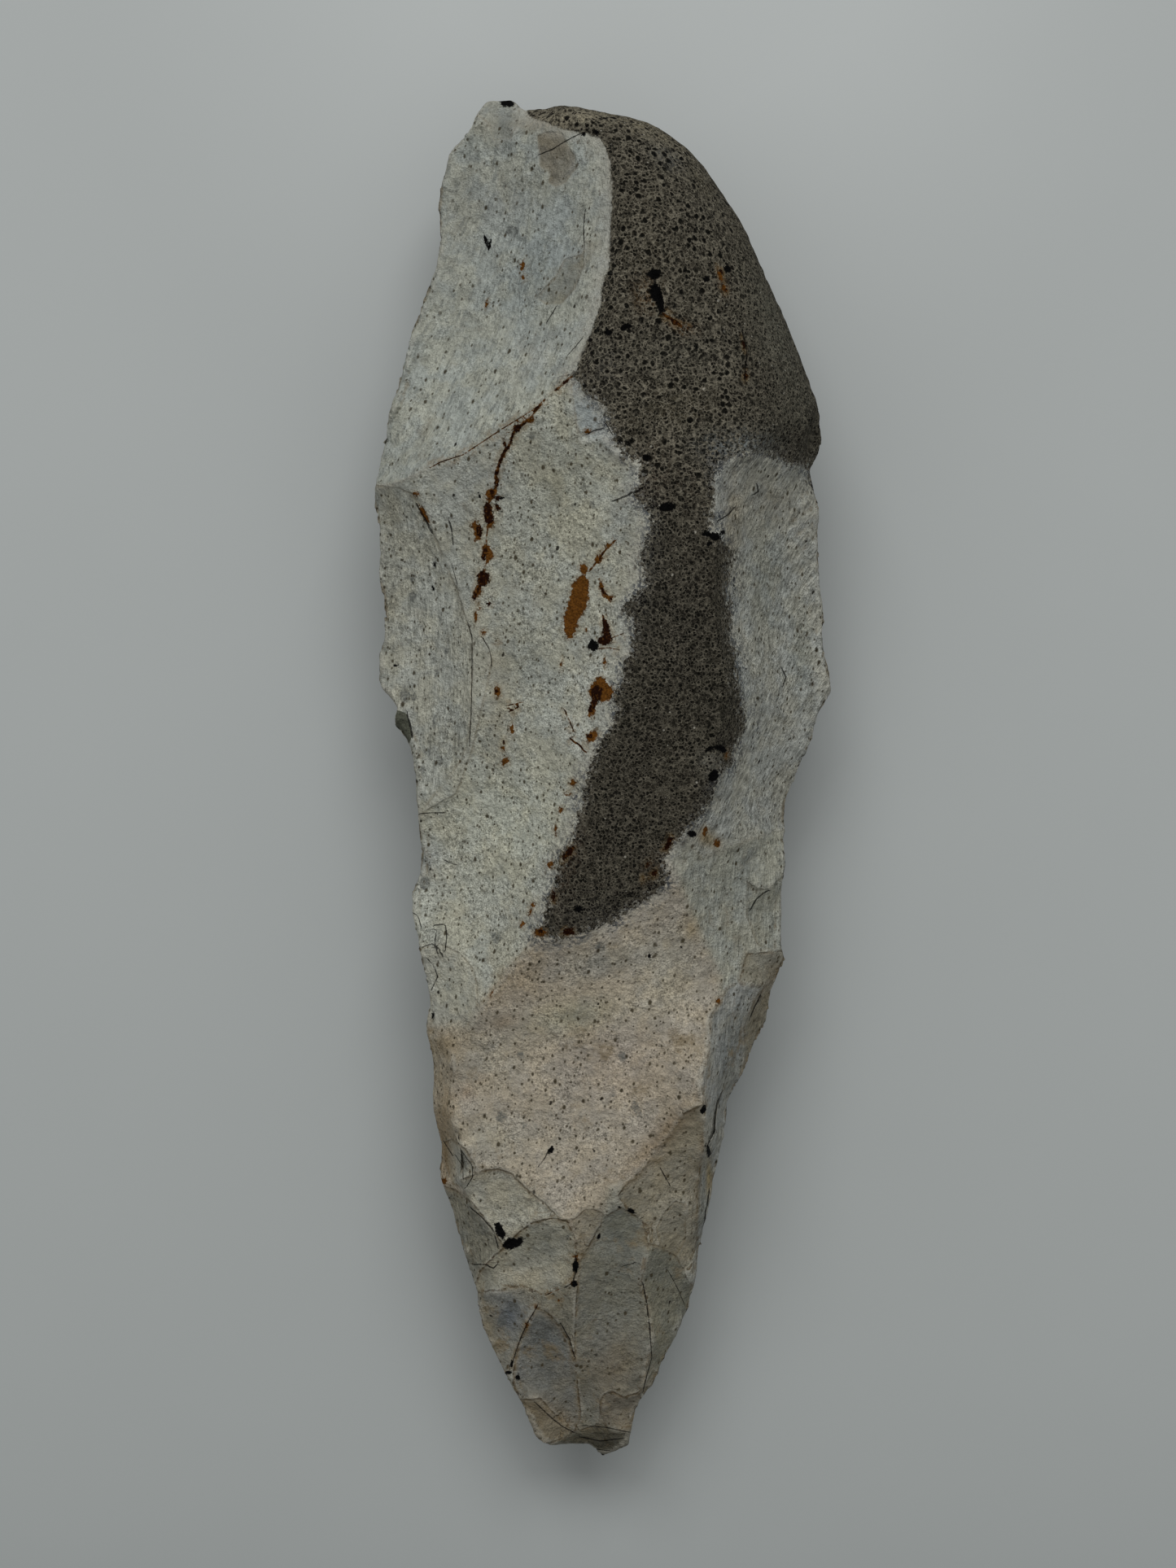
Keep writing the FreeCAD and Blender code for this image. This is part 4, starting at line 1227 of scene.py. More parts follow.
@dataclass(frozen=True)
class RindFinish:
    """The nodule's rind: a brown grey crust full of dark pits, sizes in millimetres."""

    net: Colour = (118, 113, 99)
    pit_colour: Colour = (9, 9, 7)
    white_grain: Colour = (150, 147, 136)
    dark_light: tuple[Tint, Tint] = ((0.08, 0.08, 0.07, 1), (1.70, 1.70, 1.68, 1))
    broad: Cloud = Cloud(5.0, 3.0, 0.6)
    broad_share: float = 0.9
    fine: Cloud = Cloud(0.42, 3.0, 0.75)
    fine_share: float = 3.0
    fine_height: float = 0.22
    grit: Cloud = Cloud(0.18, 2.0, 0.7)
    grit_share: float = 2.2
    warp: Cloud = Cloud(2 / 3)
    warp_reach: float = 0.45
    net_cell: float = 0.52
    net_wall: Span = (0.17, 0.02)
    net_patches: Cloud = Cloud(0.9, 3.0, 0.7, 0.38, 0.58)
    net_share: Span = (0.1, 0.75)
    net_height: float = 0.10
    pit: Pits = Pits(0.88, (0.15, 0.46))
    pit_depth: float = 0.26
    pit_patches: Cloud = Cloud(3.4, 2.0, 0.5, 0.30, 0.52)
    small_pit: Pits = Pits(0.42, (0.18, 0.46))
    small_share: float = 0.9
    small_depth: float = 0.14
    white_pit: Pits = Pits(1.6, (0.02, 0.10))
    white_share: float = 0.7
    pit_dent: float = 0.22
    pit_dent_size: float = 0.35
    pit_chosen: Span = (0.12, 0.4)
    pit_edge: Span = (1.15, 0.65)
    pit_rim: Band = Band(0.95, 1.25, 1.3, 2.0)
    small_rim_share: float = 0.6
    rim_share: float = 0.5
    crevice: Cloud = Cloud(0.60, 4.0, 0.75, 0.46, 0.36)
    crevice_share: float = 0.75
    crevice_depth: float = 0.08
    hollow_share: float = 0.97
    roughness: float = 0.85


@dataclass(frozen=True)
class BorderFinish:
    """Where the rind meets the white skin, by the distance outside the rind in millimetres."""

    transition: Colour = (46, 52, 60)
    loose: Cloud = Cloud(0.55, 4.0, 0.75)
    loose_reach: Span = (0.5, 4.0)
    broad: Cloud = Cloud(2.4)
    broad_reach: float = 1.8
    rim: Span = (0.14, -0.14)
    halo: Span = (2.2, 0.1)
    halo_share: float = 0.5
    specks: Cloud = Cloud(0.40, 3.0, 0.75)
    dust: Span = (2.0, 0.0)
    dust_patches: Cloud = Cloud(2.2, 3.0, 0.5, 0.34, 0.56)
    dust_specks: Span = (0.46, 0.54)
    dust_share: float = 0.9
    fringe: Span = (-1.4, -0.1)
    fringe_specks: Span = (0.52, 0.62)
    fringe_share: float = 0.5


@dataclass(frozen=True)
class MarkFinish:
    """Rust, cracks with one painted shadow line, ink and the glassy break; sizes in millimetres, veins in
    half widths.
    """

    halo: Colour = (108, 88, 56)
    rust: Colour = (92, 58, 19)
    deep: Colour = (26, 9, 3)
    ink: Colour = (6, 6, 6)
    glass: Colour = (70, 72, 61)
    patches: Cloud = Cloud(1.2, 3.0, 0.7)
    glow: Span = (0.55, 0.0)
    glow_patches: Span = (0.34, 0.60)
    vein_glow: Span = (0.45, 0.62)
    glow_share: float = 0.40
    rust_edge: Fray = Fray(0.42, 1.15, (0.06, -0.07))
    rust_patches: Span = (0.36, 0.48)
    rust_grain: Cloud = Cloud(0.24, 3.0, 0.75, 0.42, 0.62)
    rust_grain_share: float = 0.55
    rust_border: Span = (-0.22, -0.02)
    rust_border_patches: Span = (0.40, 0.56)
    rust_border_share: float = 0.7
    deep_edge: Fray = Fray(0.34, 0.95, (0.05, -0.07))
    deep_patches: Span = (0.48, 0.58)
    deep_depth: float = 0.05
    ember: Cloud = Cloud(0.28, 2.0, 0.7, 0.54, 0.66)
    ember_share: float = 0.5
    glass_edge: Fray = Fray(0.8, 0.1, (0.05, -0.05))
    glass_share: float = 0.95
    ink_edge: Fray = Fray(0.32, 0.85, (0.05, -0.06))
    crack_and_shadow_patches: Span = (0.26, 0.46)
    crack_and_shadow_share: float = 0.85
    ink_depth: float = 0.14
    rust_wobble: float = 1.6
    crack_and_shadow_wobble: float = 1.2
    vein_shift: Cloud = Cloud(0.9)
    vein_size: Cloud = Cloud(0.5, 2.0, 0.6)
    vein_gain: float = 1.7
    vein_edge: Span = (1.3, 0.7)
    vein_near: Span = (0.2, 0.7)


class StoneMaterial:
    """Builds the one material that covers the stone."""

    def __init__(self) -> None:
        """Start the graph and read what all of its layers share."""
        self.graph = Graph("patinated_flint")
        self.place = self.graph.place()
        self.patina = PatinaFinish()
        self.specks = SpeckFinish()
        self.seams = SeamFinish()
        self.rind = RindFinish()
        self.border = BorderFinish()
        self.marks = MarkFinish()

    def cloud(self, cloud: Cloud) -> Wire:
        """Add a cloudy noise over the stone, from 0 to 1."""
        return self.graph.noise(self.place, cloud)

    def swing(self, cloud: Cloud) -> Wire:
        """Add a cloudy noise over the stone that swings about 0."""
        return self.cloud(cloud) - 0.5

    def mask(self, cloud: Cloud) -> Wire:
        """Add patches over the stone that are 1 where a cloudy noise is thick."""
        return self.graph.mask(self.place, cloud)

    def turned(self, degrees: float, across: float, along: float) -> Wire:
        """Give the place in a frame turned about the upright and squeezed along the grain."""
        settings = {"vector_type": "POINT"}
        turned = self.graph.node("ShaderNodeMapping", settings,
                                 {"Vector": self.place, "Rotation": (0, 0, math.radians(-degrees))})
        scales = (1 / along, 1 / across, 1 / across)
        return self.graph.vector("MULTIPLY", turned, scales)

    def streaks(self, grain: Grain) -> Wire:
        """Give fine streaks that run along one of the grains, from 0 to 1."""
        finish = self.patina
        drawn = self.turned(grain.value, *finish.streak_size)
        return self.graph.noise(drawn, finish.streak)

    def ragged(self, name: str, edge: Fray) -> Wire:
        """Read a distance attribute and make its edge ragged."""
        return self.graph.attribute(name) + self.swing(Cloud(edge.size, 4.0, 0.7)) * edge.reach

    def vein(self, name: str, wobble: float) -> Wire:
        """Draw fine lines from their signed distance.

        Args:
            name: The attribute that holds the distance, in half widths.
            wobble: How far the edge strays, in half widths.

        Returns:
            A mask that is 1 in the lines.
        """
        graph, marks = self.graph, self.marks
        shift = self.swing(marks.vein_shift) * wobble
        size = self.cloud(marks.vein_size) * marks.vein_gain
        away = graph.maths("ABSOLUTE", graph.attribute(name) + shift, 0.0)
        near = graph.attribute(name + "_near").rise(*marks.vein_near)
        return (away / size).rise(*marks.vein_edge) * near

    def flint_colour(self) -> tuple[Wire, Wire]:
        """Paint the patinated flint.

        Returns:
            Its colour and its height in millimetres.
        """
        graph, finish = self.graph, self.patina
        crowd = graph.attribute("speckle")
        mottle = self.swing(finish.mottle)
        fine = self.cloud(finish.fine)
        grainy = ((fine - 0.5) * crowd.between(*finish.fine_share)
                  + self.swing(finish.grit) * crowd.between(*finish.grit_share))
        tone = 0.5 + self.swing(finish.cloud) * finish.cloud_share + mottle * finish.mottle_share
        tone = tone + grainy * self.mask(finish.uneven).between(*finish.uneven_share)
        height = (self.swing(finish.lump) * finish.lump_height + mottle * finish.mottle_height
                  + (fine - 0.5) * finish.fine_height)
        for grain, weight in finish.grains:
            mask = graph.attribute("grain_" + grain.name.lower())
            streak = (self.streaks(grain) - 0.5) * mask * weight
            tone = tone + streak
            height = height + streak * finish.streak_height
        colour = graph.attribute("patina", "Color")
        colour = graph.between(self.mask(finish.tints), colour, finish.cool_warm)
        colour = graph.between(tone, colour, finish.dark_light)
        colour = self.age(colour, fine)
        dots = []
        for layer in self.specks.layers:
            colour, mask = self.speckle(colour, layer)
            dots.append(mask)
        return self.seam(colour, height - sum(dots[1:], dots[0]) * self.specks.depth)

    def age(self, colour: Wire, fine: Wire) -> Wire:
        """Lay the smudges, stains, lighter ridges, darker valleys and grey spots over the skin.

        Args:
            colour: The skin's colour.
            fine: The finest clouds of the skin, which break up the grey spots.

        Returns:
            The new colour.
        """
        graph, finish = self.graph, self.patina
        drawn = self.turned(Grain.DOWN_LEFT.value, *finish.smudge_size)
        share = graph.attribute("grain_down_left").between(*finish.smudge_share)
        smudge = graph.mask(drawn, finish.smudges) * share
        colour = graph.blend(smudge, colour, linear(finish.smudge))
        stain = self.mask(finish.stains) * graph.attribute("darkening") * finish.stain_share
        colour = graph.blend(stain, colour, linear(finish.stain))
        crest = graph.attribute("crest")
        ridge = crest.rise(*finish.ridge) * finish.ridge_share
        colour = graph.blend(ridge, colour, linear(finish.cream))
        valley = crest.rise(*finish.valley) * finish.valley_share
        colour = graph.blend(valley, colour, linear(finish.stain))
        grey = self.ragged("grey", finish.grey_edge).rise(*finish.grey_edge.rim)
        grey = grey * fine.rise(finish.fine.start, finish.fine.full) * finish.grey_share
        return graph.blend(grey, colour, linear(finish.grey))

    def seam(self, colour: Wire, height: Wire) -> tuple[Wire, Wire]:
        """Draw the step at the border of each scar, with painted shade in the corner inside it, a painted
        highlight just outside it and brown stains along it.

        Args:
            colour: The flint's colour.
            height: The flint's height in millimetres.

        Returns:
            The new colour and the new height.
        """
        graph, finish = self.graph, self.seams
        # darkening is the stain tone, used for the painted shade inside each border and for the brown stain
        # wash along it
        darkening, cream = linear(self.patina.stain), linear(self.patina.cream)
        gap = graph.attribute("seam") + self.swing(finish.stray) * finish.stray_reach
        line = graph.attribute("seam_line")
        stain = graph.attribute("seam_stain")
        height = height + gap.rise(*finish.step) * line * finish.step_height
        patchy = self.cloud(finish.patches)
        # Painted shade: the corner just inside each scar's border is darkened with the stain tone
        shade = gap.within(finish.shade) * line * patchy.rise(*finish.shade_patches)
        colour = graph.blend(shade * finish.shade_share, colour, darkening)
        # Painted highlight: a pale cream line just outside each scar's border
        bright = gap.within(finish.bright) * line
        colour = graph.blend(bright * finish.painted_highlight_share, colour, cream)
        brown = gap.within(finish.brown) * stain * self.mask(finish.beads)
        colour = graph.blend(brown * finish.brown_share, colour, linear(finish.brown_line))
        wash = gap.within(finish.wash) * stain * patchy.rise(*finish.wash_patches)
        return graph.blend(wash * finish.wash_share, colour, darkening), height

    def speckle(self, colour: Wire, layer: Specks) -> tuple[Wire, Wire]:
        """Scatter small dark grains over a colour.

        Args:
            colour: The colour below.
            layer: The grains.

        Returns:
            The new colour and the mask of the grains.
        """
        graph, finish = self.graph, self.specks
        drawn = self.turned(finish.tilt, 1.0, finish.along)
        pick = graph.channel(graph.cells(drawn, layer.spacing, "Color"), 0)
        crowd = graph.attribute("speckle") + self.swing(finish.crowding) * finish.crowding_share
        chosen = (pick + crowd * finish.crowd_share).rise(*finish.chosen)
        dents = self.swing(Cloud(layer.spacing * finish.dent_size, 2.0, 0.7)) * finish.dent_reach
        away = graph.cells(drawn, layer.spacing) + dents * finish.dent_share
        least, most = layer.radii
        dots = (away / (least + (most - least) * pick * pick)).rise(*finish.rim) * chosen
        return graph.blend(dots * layer.cover, colour, linear(layer.colour)), dots

    def rind_colour(self) -> tuple[Wire, Wire]:
        """Paint the rind.

        Returns:
            Its colour and its height in millimetres.
        """
        graph, finish = self.graph, self.rind
        fine = self.swing(finish.fine)
        tone = (0.5 + self.swing(finish.broad) * finish.broad_share + fine * finish.fine_share
                + self.swing(finish.grit) * finish.grit_share)
        colour = graph.between(tone, graph.attribute("crust", "Color"), finish.dark_light)
        warped = self.warped()
        wall = graph.cells(warped, finish.net_cell, feature="DISTANCE_TO_EDGE")
        net = wall.rise(*finish.net_wall) * self.mask(finish.net_patches)
        coarse = graph.attribute("coarse")
        colour = graph.blend(net * coarse.between(*finish.net_share), colour, linear(finish.net))
        pits, rims = self.pits(warped, finish.pit)
        small, small_rims = self.pits(warped, finish.small_pit)
        coarse = coarse * self.mask(finish.pit_patches)
        rim = (rims * coarse).most(small_rims * finish.small_rim_share)
        colour = graph.blend(rim * finish.rim_share, colour, linear(finish.net))
        grains = self.pits(self.place, finish.white_pit)[0] * finish.white_share
        colour = graph.blend(grains, colour, linear(finish.white_grain))
        pits = pits * coarse
        crevice = self.mask(finish.crevice)
        hollow = pits.most(small * finish.small_share).most(crevice * finish.crevice_share)
        colour = graph.blend(hollow * finish.hollow_share, colour, linear(finish.pit_colour))
        sunk = (pits * finish.pit_depth + small * finish.small_depth
                + crevice * finish.crevice_depth)
        return colour, fine * finish.fine_height + net * finish.net_height - sunk

    def warped(self) -> Wire:
        """Give the place, bent a little so that the net of the rind isn't regular."""
        graph, finish = self.graph, self.rind
        bend = graph.vector("SUBTRACT", graph.noise(self.place, finish.warp, "Color"), (0.5,) * 3)
        return graph.vector("ADD", self.place,
                            graph.vector("MULTIPLY", bend, (finish.warp_reach,) * 3))

    def pits(self, place: Wire, pits: Pits) -> tuple[Wire, Wire]:
        """Scatter round pits of unlike sizes.

        Args:
            place: The place, in millimetres.
            pits: Their spacing and their radii.

        Returns:
            How deep each place lies in a pit, and how near it lies to a pit's rim, from 0 to 1.
        """
        graph, finish = self.graph, self.rind
        dents = self.swing(Cloud(pits.spacing * finish.pit_dent_size)) * finish.pit_dent
        pick = graph.channel(graph.cells(place, pits.spacing, "Color"), 1)
        reach = (graph.cells(place, pits.spacing) + dents) / pick.between(*pits.radii)
        chosen = pick.rise(*finish.pit_chosen)
        return reach.rise(*finish.pit_edge) * chosen, reach.within(finish.pit_rim) * chosen

    def build(self) -> bpy.types.Material:
        """Join the layers.

        Returns:
            The finished material.
        """
        graph = self.graph
        flint, flint_height = self.flint_colour()
        crust, crust_height = self.rind_colour()
        mask, flint, crust = self.meet(flint, crust)
        colour, sunk = self.mark(graph.blend(mask, flint, crust))
        height = flint_height * (1 - mask) + crust_height * mask - sunk
        bump = graph.node("ShaderNodeBump", {}, {"Strength": 1.0, "Distance": MM, "Height": height})
        rough = mask.between(self.patina.roughness, self.rind.roughness)
        graph.shader.inputs["Specular IOR Level"].default_value = self.patina.shine
        for name, wire in (("Base Color", colour), ("Roughness", rough), ("Normal", bump)):
            graph.links.new(wire.socket, graph.shader.inputs[name])
        return graph.material

    def meet(self, flint: Wire, crust: Wire) -> tuple[Wire, Wire, Wire]:
        """Draw the border between the rind and the white skin.

        Args:
            flint: The skin's colour.
            crust: The rind's colour.

        Returns:
            A mask that is 1 in the rind, and both colours as they are near the border.
        """
        graph, finish = self.graph, self.border
        cream = linear(self.patina.cream)
        feather = graph.attribute("feather")
        edge = (graph.attribute(RIND)
                + self.swing(finish.loose) * feather.between(*finish.loose_reach)
                + self.swing(finish.broad) * feather * finish.broad_reach)
        halo = edge.rise(*finish.halo) * graph.attribute("halo")
        flint = graph.blend(halo * finish.halo_share, flint, cream)
        specks = self.cloud(finish.specks)
        dusty = edge.rise(*finish.dust) * feather * self.mask(finish.dust_patches)
        dusty = dusty * specks.rise(*finish.dust_specks) * finish.dust_share
        flint = graph.blend(dusty, flint, linear(finish.transition))
        fringe = edge.rise(*finish.fringe) * feather * specks.rise(*finish.fringe_specks)
        crust = graph.blend(fringe * finish.fringe_share, crust, cream)
        return edge.rise(*finish.rim), flint, crust

    def mark(self, colour: Wire) -> tuple[Wire, Wire]:
        """Lay the rust, the cracks with one painted shadow line, the ink and the glassy break over a
        colour.

        Args:
            colour: The colour below.

        Returns:
            The new colour and how deep each place sinks, in millimetres.
        """
        graph, marks = self.graph, self.marks
        light_rust, dark_rust = linear(marks.rust), linear(marks.deep)
        rust = self.ragged("rust", marks.rust_edge)
        deep = self.ragged("deep", marks.deep_edge)
        vein = self.vein("rust_vein", marks.rust_wobble)
        patchy = self.cloud(marks.patches)
        glow = rust.least(deep).rise(*marks.glow) * patchy.rise(*marks.glow_patches)
        glow = glow.most(graph.attribute("rust_vein_near") * patchy.rise(*marks.vein_glow))
        colour = graph.blend(glow * marks.glow_share, colour, linear(marks.halo))
        body = rust.rise(*marks.rust_edge.rim).most(vein * patchy.rise(*marks.rust_patches))
        border = rust.rise(*marks.rust_border) * patchy.rise(*marks.rust_border_patches)
        grain = self.mask(marks.rust_grain) * marks.rust_grain_share
        tone = graph.blend(grain.most(border * marks.rust_border_share), light_rust, dark_rust)
        colour = graph.blend(body, colour, tone)
        core = deep.rise(*marks.deep_edge.rim).most(vein * patchy.rise(*marks.deep_patches))
        heart = graph.blend(self.mask(marks.ember) * marks.ember_share, dark_rust, light_rust)
        colour = graph.blend(core, colour, heart)
        glass = self.ragged("glass", marks.glass_edge).rise(*marks.glass_edge.rim)
        colour = graph.blend(glass * marks.glass_share, colour, linear(marks.glass))
        ink = self.ragged("ink", marks.ink_edge).rise(*marks.ink_edge.rim)
        # the black hairlines are cracks and one painted shadow line
        crack_and_shadow_line = self.vein("ink_vein", marks.crack_and_shadow_wobble) * patchy.rise(*marks.crack_and_shadow_patches)
        colour = graph.blend(ink.most(crack_and_shadow_line * marks.crack_and_shadow_share), colour, linear(marks.ink))
        sunk = ink * marks.ink_depth + crack_and_shadow_line * marks.ink_depth + core * marks.deep_depth
        return colour, sunk


@dataclass
class FlintStone:
    """The whole axe: one stone with its scars, rind and marks; lengths are in millimetres."""

    view: PhotoView
    node_name: str = "flint_core_axe"
    piece_name: str = "flint_core_axe_stone"
    voxel: float = 0.35
    weld: float = 0.001
    most_triangles: int = 192000
    low_tilt: float = -0.25
    low_height: float = 14.0
    facing: Span = (0.0, 0.08)
    upward: Span = (-0.12, 0.08)
    drift: float = 0.8
    drift_waves: Span = (8.0, 24.0)
    ripple_waves: Span = (5.0, 14.0)
    ripple_rim_px: Span = (2.0, 22.0)
    chip_count: int = 230
    chip_tilt: float = 0.05
    chip_stray_px: float = 4.0
    chip_radii_px: Span = (5.0, 20.0)
    chip_deepest: float = 0.42
    chip_depths: Span = (0.35, 1.0)
    swell: float = 0.08
    swell_waves: Span = (7.0, 18.0)
    fine_swell: float = 0.035
    fine_waves: Span = (1.0, 3.0)
    off_table: Span = (0.15, 1.6)
    underside: Colour = (124, 123, 114)
    bare: Colour = (126, 125, 116)
    plain_speckle: float = 0.5
    hidden_speckle: float = 0.4
    hidden_grain: float = 0.3
    seam_reach: float = 2.0
    seam_fade_px: Span = (8.0, 13.0)
    halo_columns: Span = (820.0, 900.0)
    fine_columns: Span = (880.0, 960.0)
    fine_rows: Span = (560.0, 680.0)
    fine_share: float = 0.55
    crisp_rows: Span = (440.0, 480.0)
    crisp_share: float = 0.9
    dirty_rows: Span = (1100.0, 1300.0)
    least_dirt: float = 0.35

    def copy_solid(self) -> bpy.types.Object:
        """Copy the solid's mesh, close it and rebuild it with even faces.

        Returns:
            The new piece.
        """
        source = frame["nodes"][self.node_name]
        piece = bpy.data.objects.new(self.piece_name, source.data.copy())
        piece.data.name = self.piece_name
        piece.data.materials.clear()
        bpy.context.scene.collection.objects.link(piece)
        bpy.ops.object.select_all(action="DESELECT")
        piece.select_set(True)
        bpy.context.view_layer.objects.active = piece
        bpy.ops.object.mode_set(mode="EDIT")
        bpy.ops.mesh.select_all(action="SELECT")
        bpy.ops.mesh.remove_doubles(threshold=self.weld * MM)
        bpy.ops.object.mode_set(mode="OBJECT")
        remesh = piece.modifiers.new("even_faces", "REMESH")
        remesh.mode = "VOXEL"
        remesh.voxel_size = self.voxel * MM
        bpy.ops.object.modifier_apply(modifier=remesh.name)
        soften = piece.modifiers.new("worn_edges", "SMOOTH")
        soften.factor = 0.5
        soften.iterations = 2
        bpy.ops.object.modifier_apply(modifier=soften.name)
        self.thin_underside(piece)
        return piece

    def thin_underside(self, piece: bpy.types.Object) -> None:
        """Give the underside fewer faces, which leaves more of them for the upper face.

        Args:
            piece: The stone.
        """
        mesh = piece.data
        places, normals = self.shape(mesh)
        low = (normals[:, 2] < self.low_tilt) & (places[:, 2] < self.low_height * MM)
        group = piece.vertex_groups.new(name="underside")
        group.add([int(index) for index in np.nonzero(low)[0]], 1.0, "REPLACE")
        mesh.calc_loop_triangles()
        thin = piece.modifiers.new("thin_underside", "DECIMATE")
        thin.ratio = min(1.0, self.most_triangles / len(mesh.loop_triangles))
        thin.vertex_group = group.name
        thin.use_collapse_triangulate = True
        bpy.ops.object.modifier_apply(modifier=thin.name)
        piece.vertex_groups.clear()

    @staticmethod
    def shape(mesh: bpy.types.Mesh) -> list[np.ndarray]:
        """Read the places and the normals of a mesh's corners."""
        values = np.empty((2, len(mesh.vertices), 3), np.float32)
        for name, rows in zip(("co", "normal"), values):
            mesh.vertices.foreach_get(name, rows.ravel())
        return list(values.astype(float))

    @staticmethod
    def write_places(mesh: bpy.types.Mesh, places: np.ndarray) -> None:
        """Write the places of a mesh's corners."""
        mesh.vertices.foreach_set("co", places.astype(np.float32).ravel())
        mesh.update()

    def carve(self, piece: bpy.types.Object, relief: Relief) -> None:
        """Move the upper face onto the relief's heights, along the camera's own rays.

        Args:
            piece: The stone.
            relief: The solved heights.
        """
        mesh = piece.data
        places, normals = self.shape(mesh)
        pixels = self.view.project(places)
        eye = np.array(self.view.place)
        rays = places - eye
        facing = -np.einsum("ij,ij->i", normals, rays) / np.linalg.norm(rays, axis=1)
        share = smooth_step(facing, *self.facing) * relief.sample(relief.cover, pixels)
        target = relief.sample(relief.height, pixels) * MM
        height = places[:, 2] + (target - places[:, 2]) * share
        height += self.ripples(pixels) * share * MM
        reach = (height - eye[2]) / (places[:, 2] - eye[2])
        self.write_places(mesh, eye + rays * reach[:, None])

    def ripples(self, pixels: np.ndarray) -> np.ndarray:
        """Give the rings that each blow left.

        Args:
            pixels: Photograph pixels, one row each.

        Returns:
            One height for each pixel, in millimetres.
        """
        places = pixels / PX_PER_MM
        total = np.zeros(len(pixels))
        for number, scar in enumerate(SCARS):
            if scar.blow is None:
                continue
            inside = -border_distance(pixels, scar.border)
            away = np.linalg.norm(pixels - np.array(scar.blow), axis=1) / PX_PER_MM
            drift = wave_noise(places, *self.drift_waves, 100 + number) * self.drift
            rings = np.sin(2 * math.pi * (away + drift) / scar.ripple_length)
            strength = wave_noise(places, *self.ripple_waves, 200 + number)
            patch = 0.5 + 0.5 * np.clip(strength, -1, 1)
            total += scar.ripple * rings * patch * smooth_step(inside, *self.ripple_rim_px)
        return total

    def chip_margins(self, piece: bpy.types.Object, relief: Relief) -> None:
        """Press small dished chips into both faces along the flaked margin.

        Args:
            piece: The stone.
            relief: The map that knows where the stone ends.
        """
        chance = np.random.RandomState(11)
        owner = relief.scar_map()
        depth = relief.inwards()
        rim = np.argwhere((depth > 0) & (depth < 2 * relief.cell_px) & (owner != RIND_OWNER))
        order = chance.permutation(len(rim))[:self.chip_count]
        least, most = self.chip_radii_px
        shallow, deepest = self.chip_depths
        mesh = piece.data
        places, normals = self.shape(mesh)
        pixels = self.view.project(places)
        near = relief.sample(depth, pixels) < relief.inner_px
        for side in (1, -1):
            sink = np.zeros(len(places))
            band = np.nonzero(near & (normals[:, 2] * side > self.chip_tilt))[0]
            local = pixels[band]
            for index in order:
                row, column = rim[index]
                centre = np.array([relief.columns[column], relief.rows[row]])
                centre = centre + chance.normal(size=2) * self.chip_stray_px
                radius = least + (most - least) * chance.rand() ** 2
                depth_share = shallow + (deepest - shallow) * chance.rand()
                reach = np.linalg.norm(local - centre, axis=1) / radius
                deep = self.chip_deepest * depth_share * radius / most
                dish = np.clip(1 - reach ** 2, 0, 1) * deep
                sink[band] = np.maximum(sink[band], dish)
            places[:, 2] -= side * sink * MM
        self.write_places(mesh, places)

    def weather(self, piece: bpy.types.Object) -> None:
        """Add the slow swells and the fine unevenness of an old broken surface."""
        mesh = piece.data
        places, normals = self.shape(mesh)
        swell = wave_noise(places / MM, *self.swell_waves, 1) * self.swell
        fine = wave_noise(places / MM, *self.fine_waves, 2, 60) * self.fine_swell
        off_table = smooth_step(places[:, 2] / MM, *self.off_table)
        moved = places + normals * ((swell + fine) * off_table * MM)[:, None]
        self.write_places(mesh, self.within_box(moved))

    @staticmethod
    def within_box(places: np.ndarray) -> np.ndarray:
        """Keep the stone inside the solid's own box."""
        return np.clip(places, np.array(CAD_BOX[0]), np.array(CAD_BOX[1]))

    @staticmethod
    def store(mesh: bpy.types.Mesh, name: str, values: np.ndarray) -> None:
        """Store one number for each corner of the mesh."""
        kept = mesh.attributes.new(name, "FLOAT", "POINT")
        kept.data.foreach_set("value", values.astype(np.float32))

    @staticmethod
    def store_colour(mesh: bpy.types.Mesh, name: str, tone: np.ndarray) -> None:
        """Store one linear colour for each corner of the mesh."""
        kept = mesh.color_attributes.new(name, "FLOAT_COLOR", "POINT")
        rows = np.concatenate([tone, np.ones((len(tone), 1))], axis=1)
        kept.data.foreach_set("color", rows.astype(np.float32).ravel())

    def paint(self, piece: bpy.types.Object) -> None:
        """Store the tones of the patina and the distances to each kind of mark.

        Args:
            piece: The stone.
        """
        mesh = piece.data
        places, normals = self.shape(mesh)
        pixels = self.view.project(places)
        top = smooth_step(normals[:, 2], *self.upward)
        hidden = FAR_MM * (1 - top)
        tone, rind_gap = self.paint_scars(mesh, pixels, top)
        tone = blot_over(pixels, tone, BLOTS)
        share = top[:, None]
        self.store_colour(mesh, "patina", tone * share + tone_of(self.underside) * (1 - share))
        ground = np.tile(tone_of(SCARS[RIND_OWNER].colour), (len(places), 1))
        crust = blot_over(pixels, ground, RIND_BLOTS)
        self.store_colour(mesh, "crust", crust * share + ground * (1 - share))
        self.store(mesh, RIND, np.where(top > 0.5, rind_gap, self.under_rind(places)))
        for name, spots, patches in (
                ("rust", RUST_SPOTS, RUST_PATCHES), ("deep", DEEP_SPOTS, DEEP_PATCHES),
                ("ink", INK_SPOTS, INK_PATCHES), ("grey", GREY_SPOTS, ()),
                ("glass", (), GLASSY_BREAK)):
            away = np.minimum(spot_distance(pixels, spots), patch_distance(pixels, patches))
            self.store(mesh, name, away + hidden)
        for name, veins in (("rust_vein", RUST_VEINS), ("ink_vein", INK_AND_SHADOW_VEINS)):
            signed, near = vein_reach(pixels, veins)
            self.store(mesh, name, signed)
            self.store(mesh, name + "_near", near * top)
        self.paint_regions(mesh, pixels, top)
        self.store(mesh, "crest", self.crest(mesh))

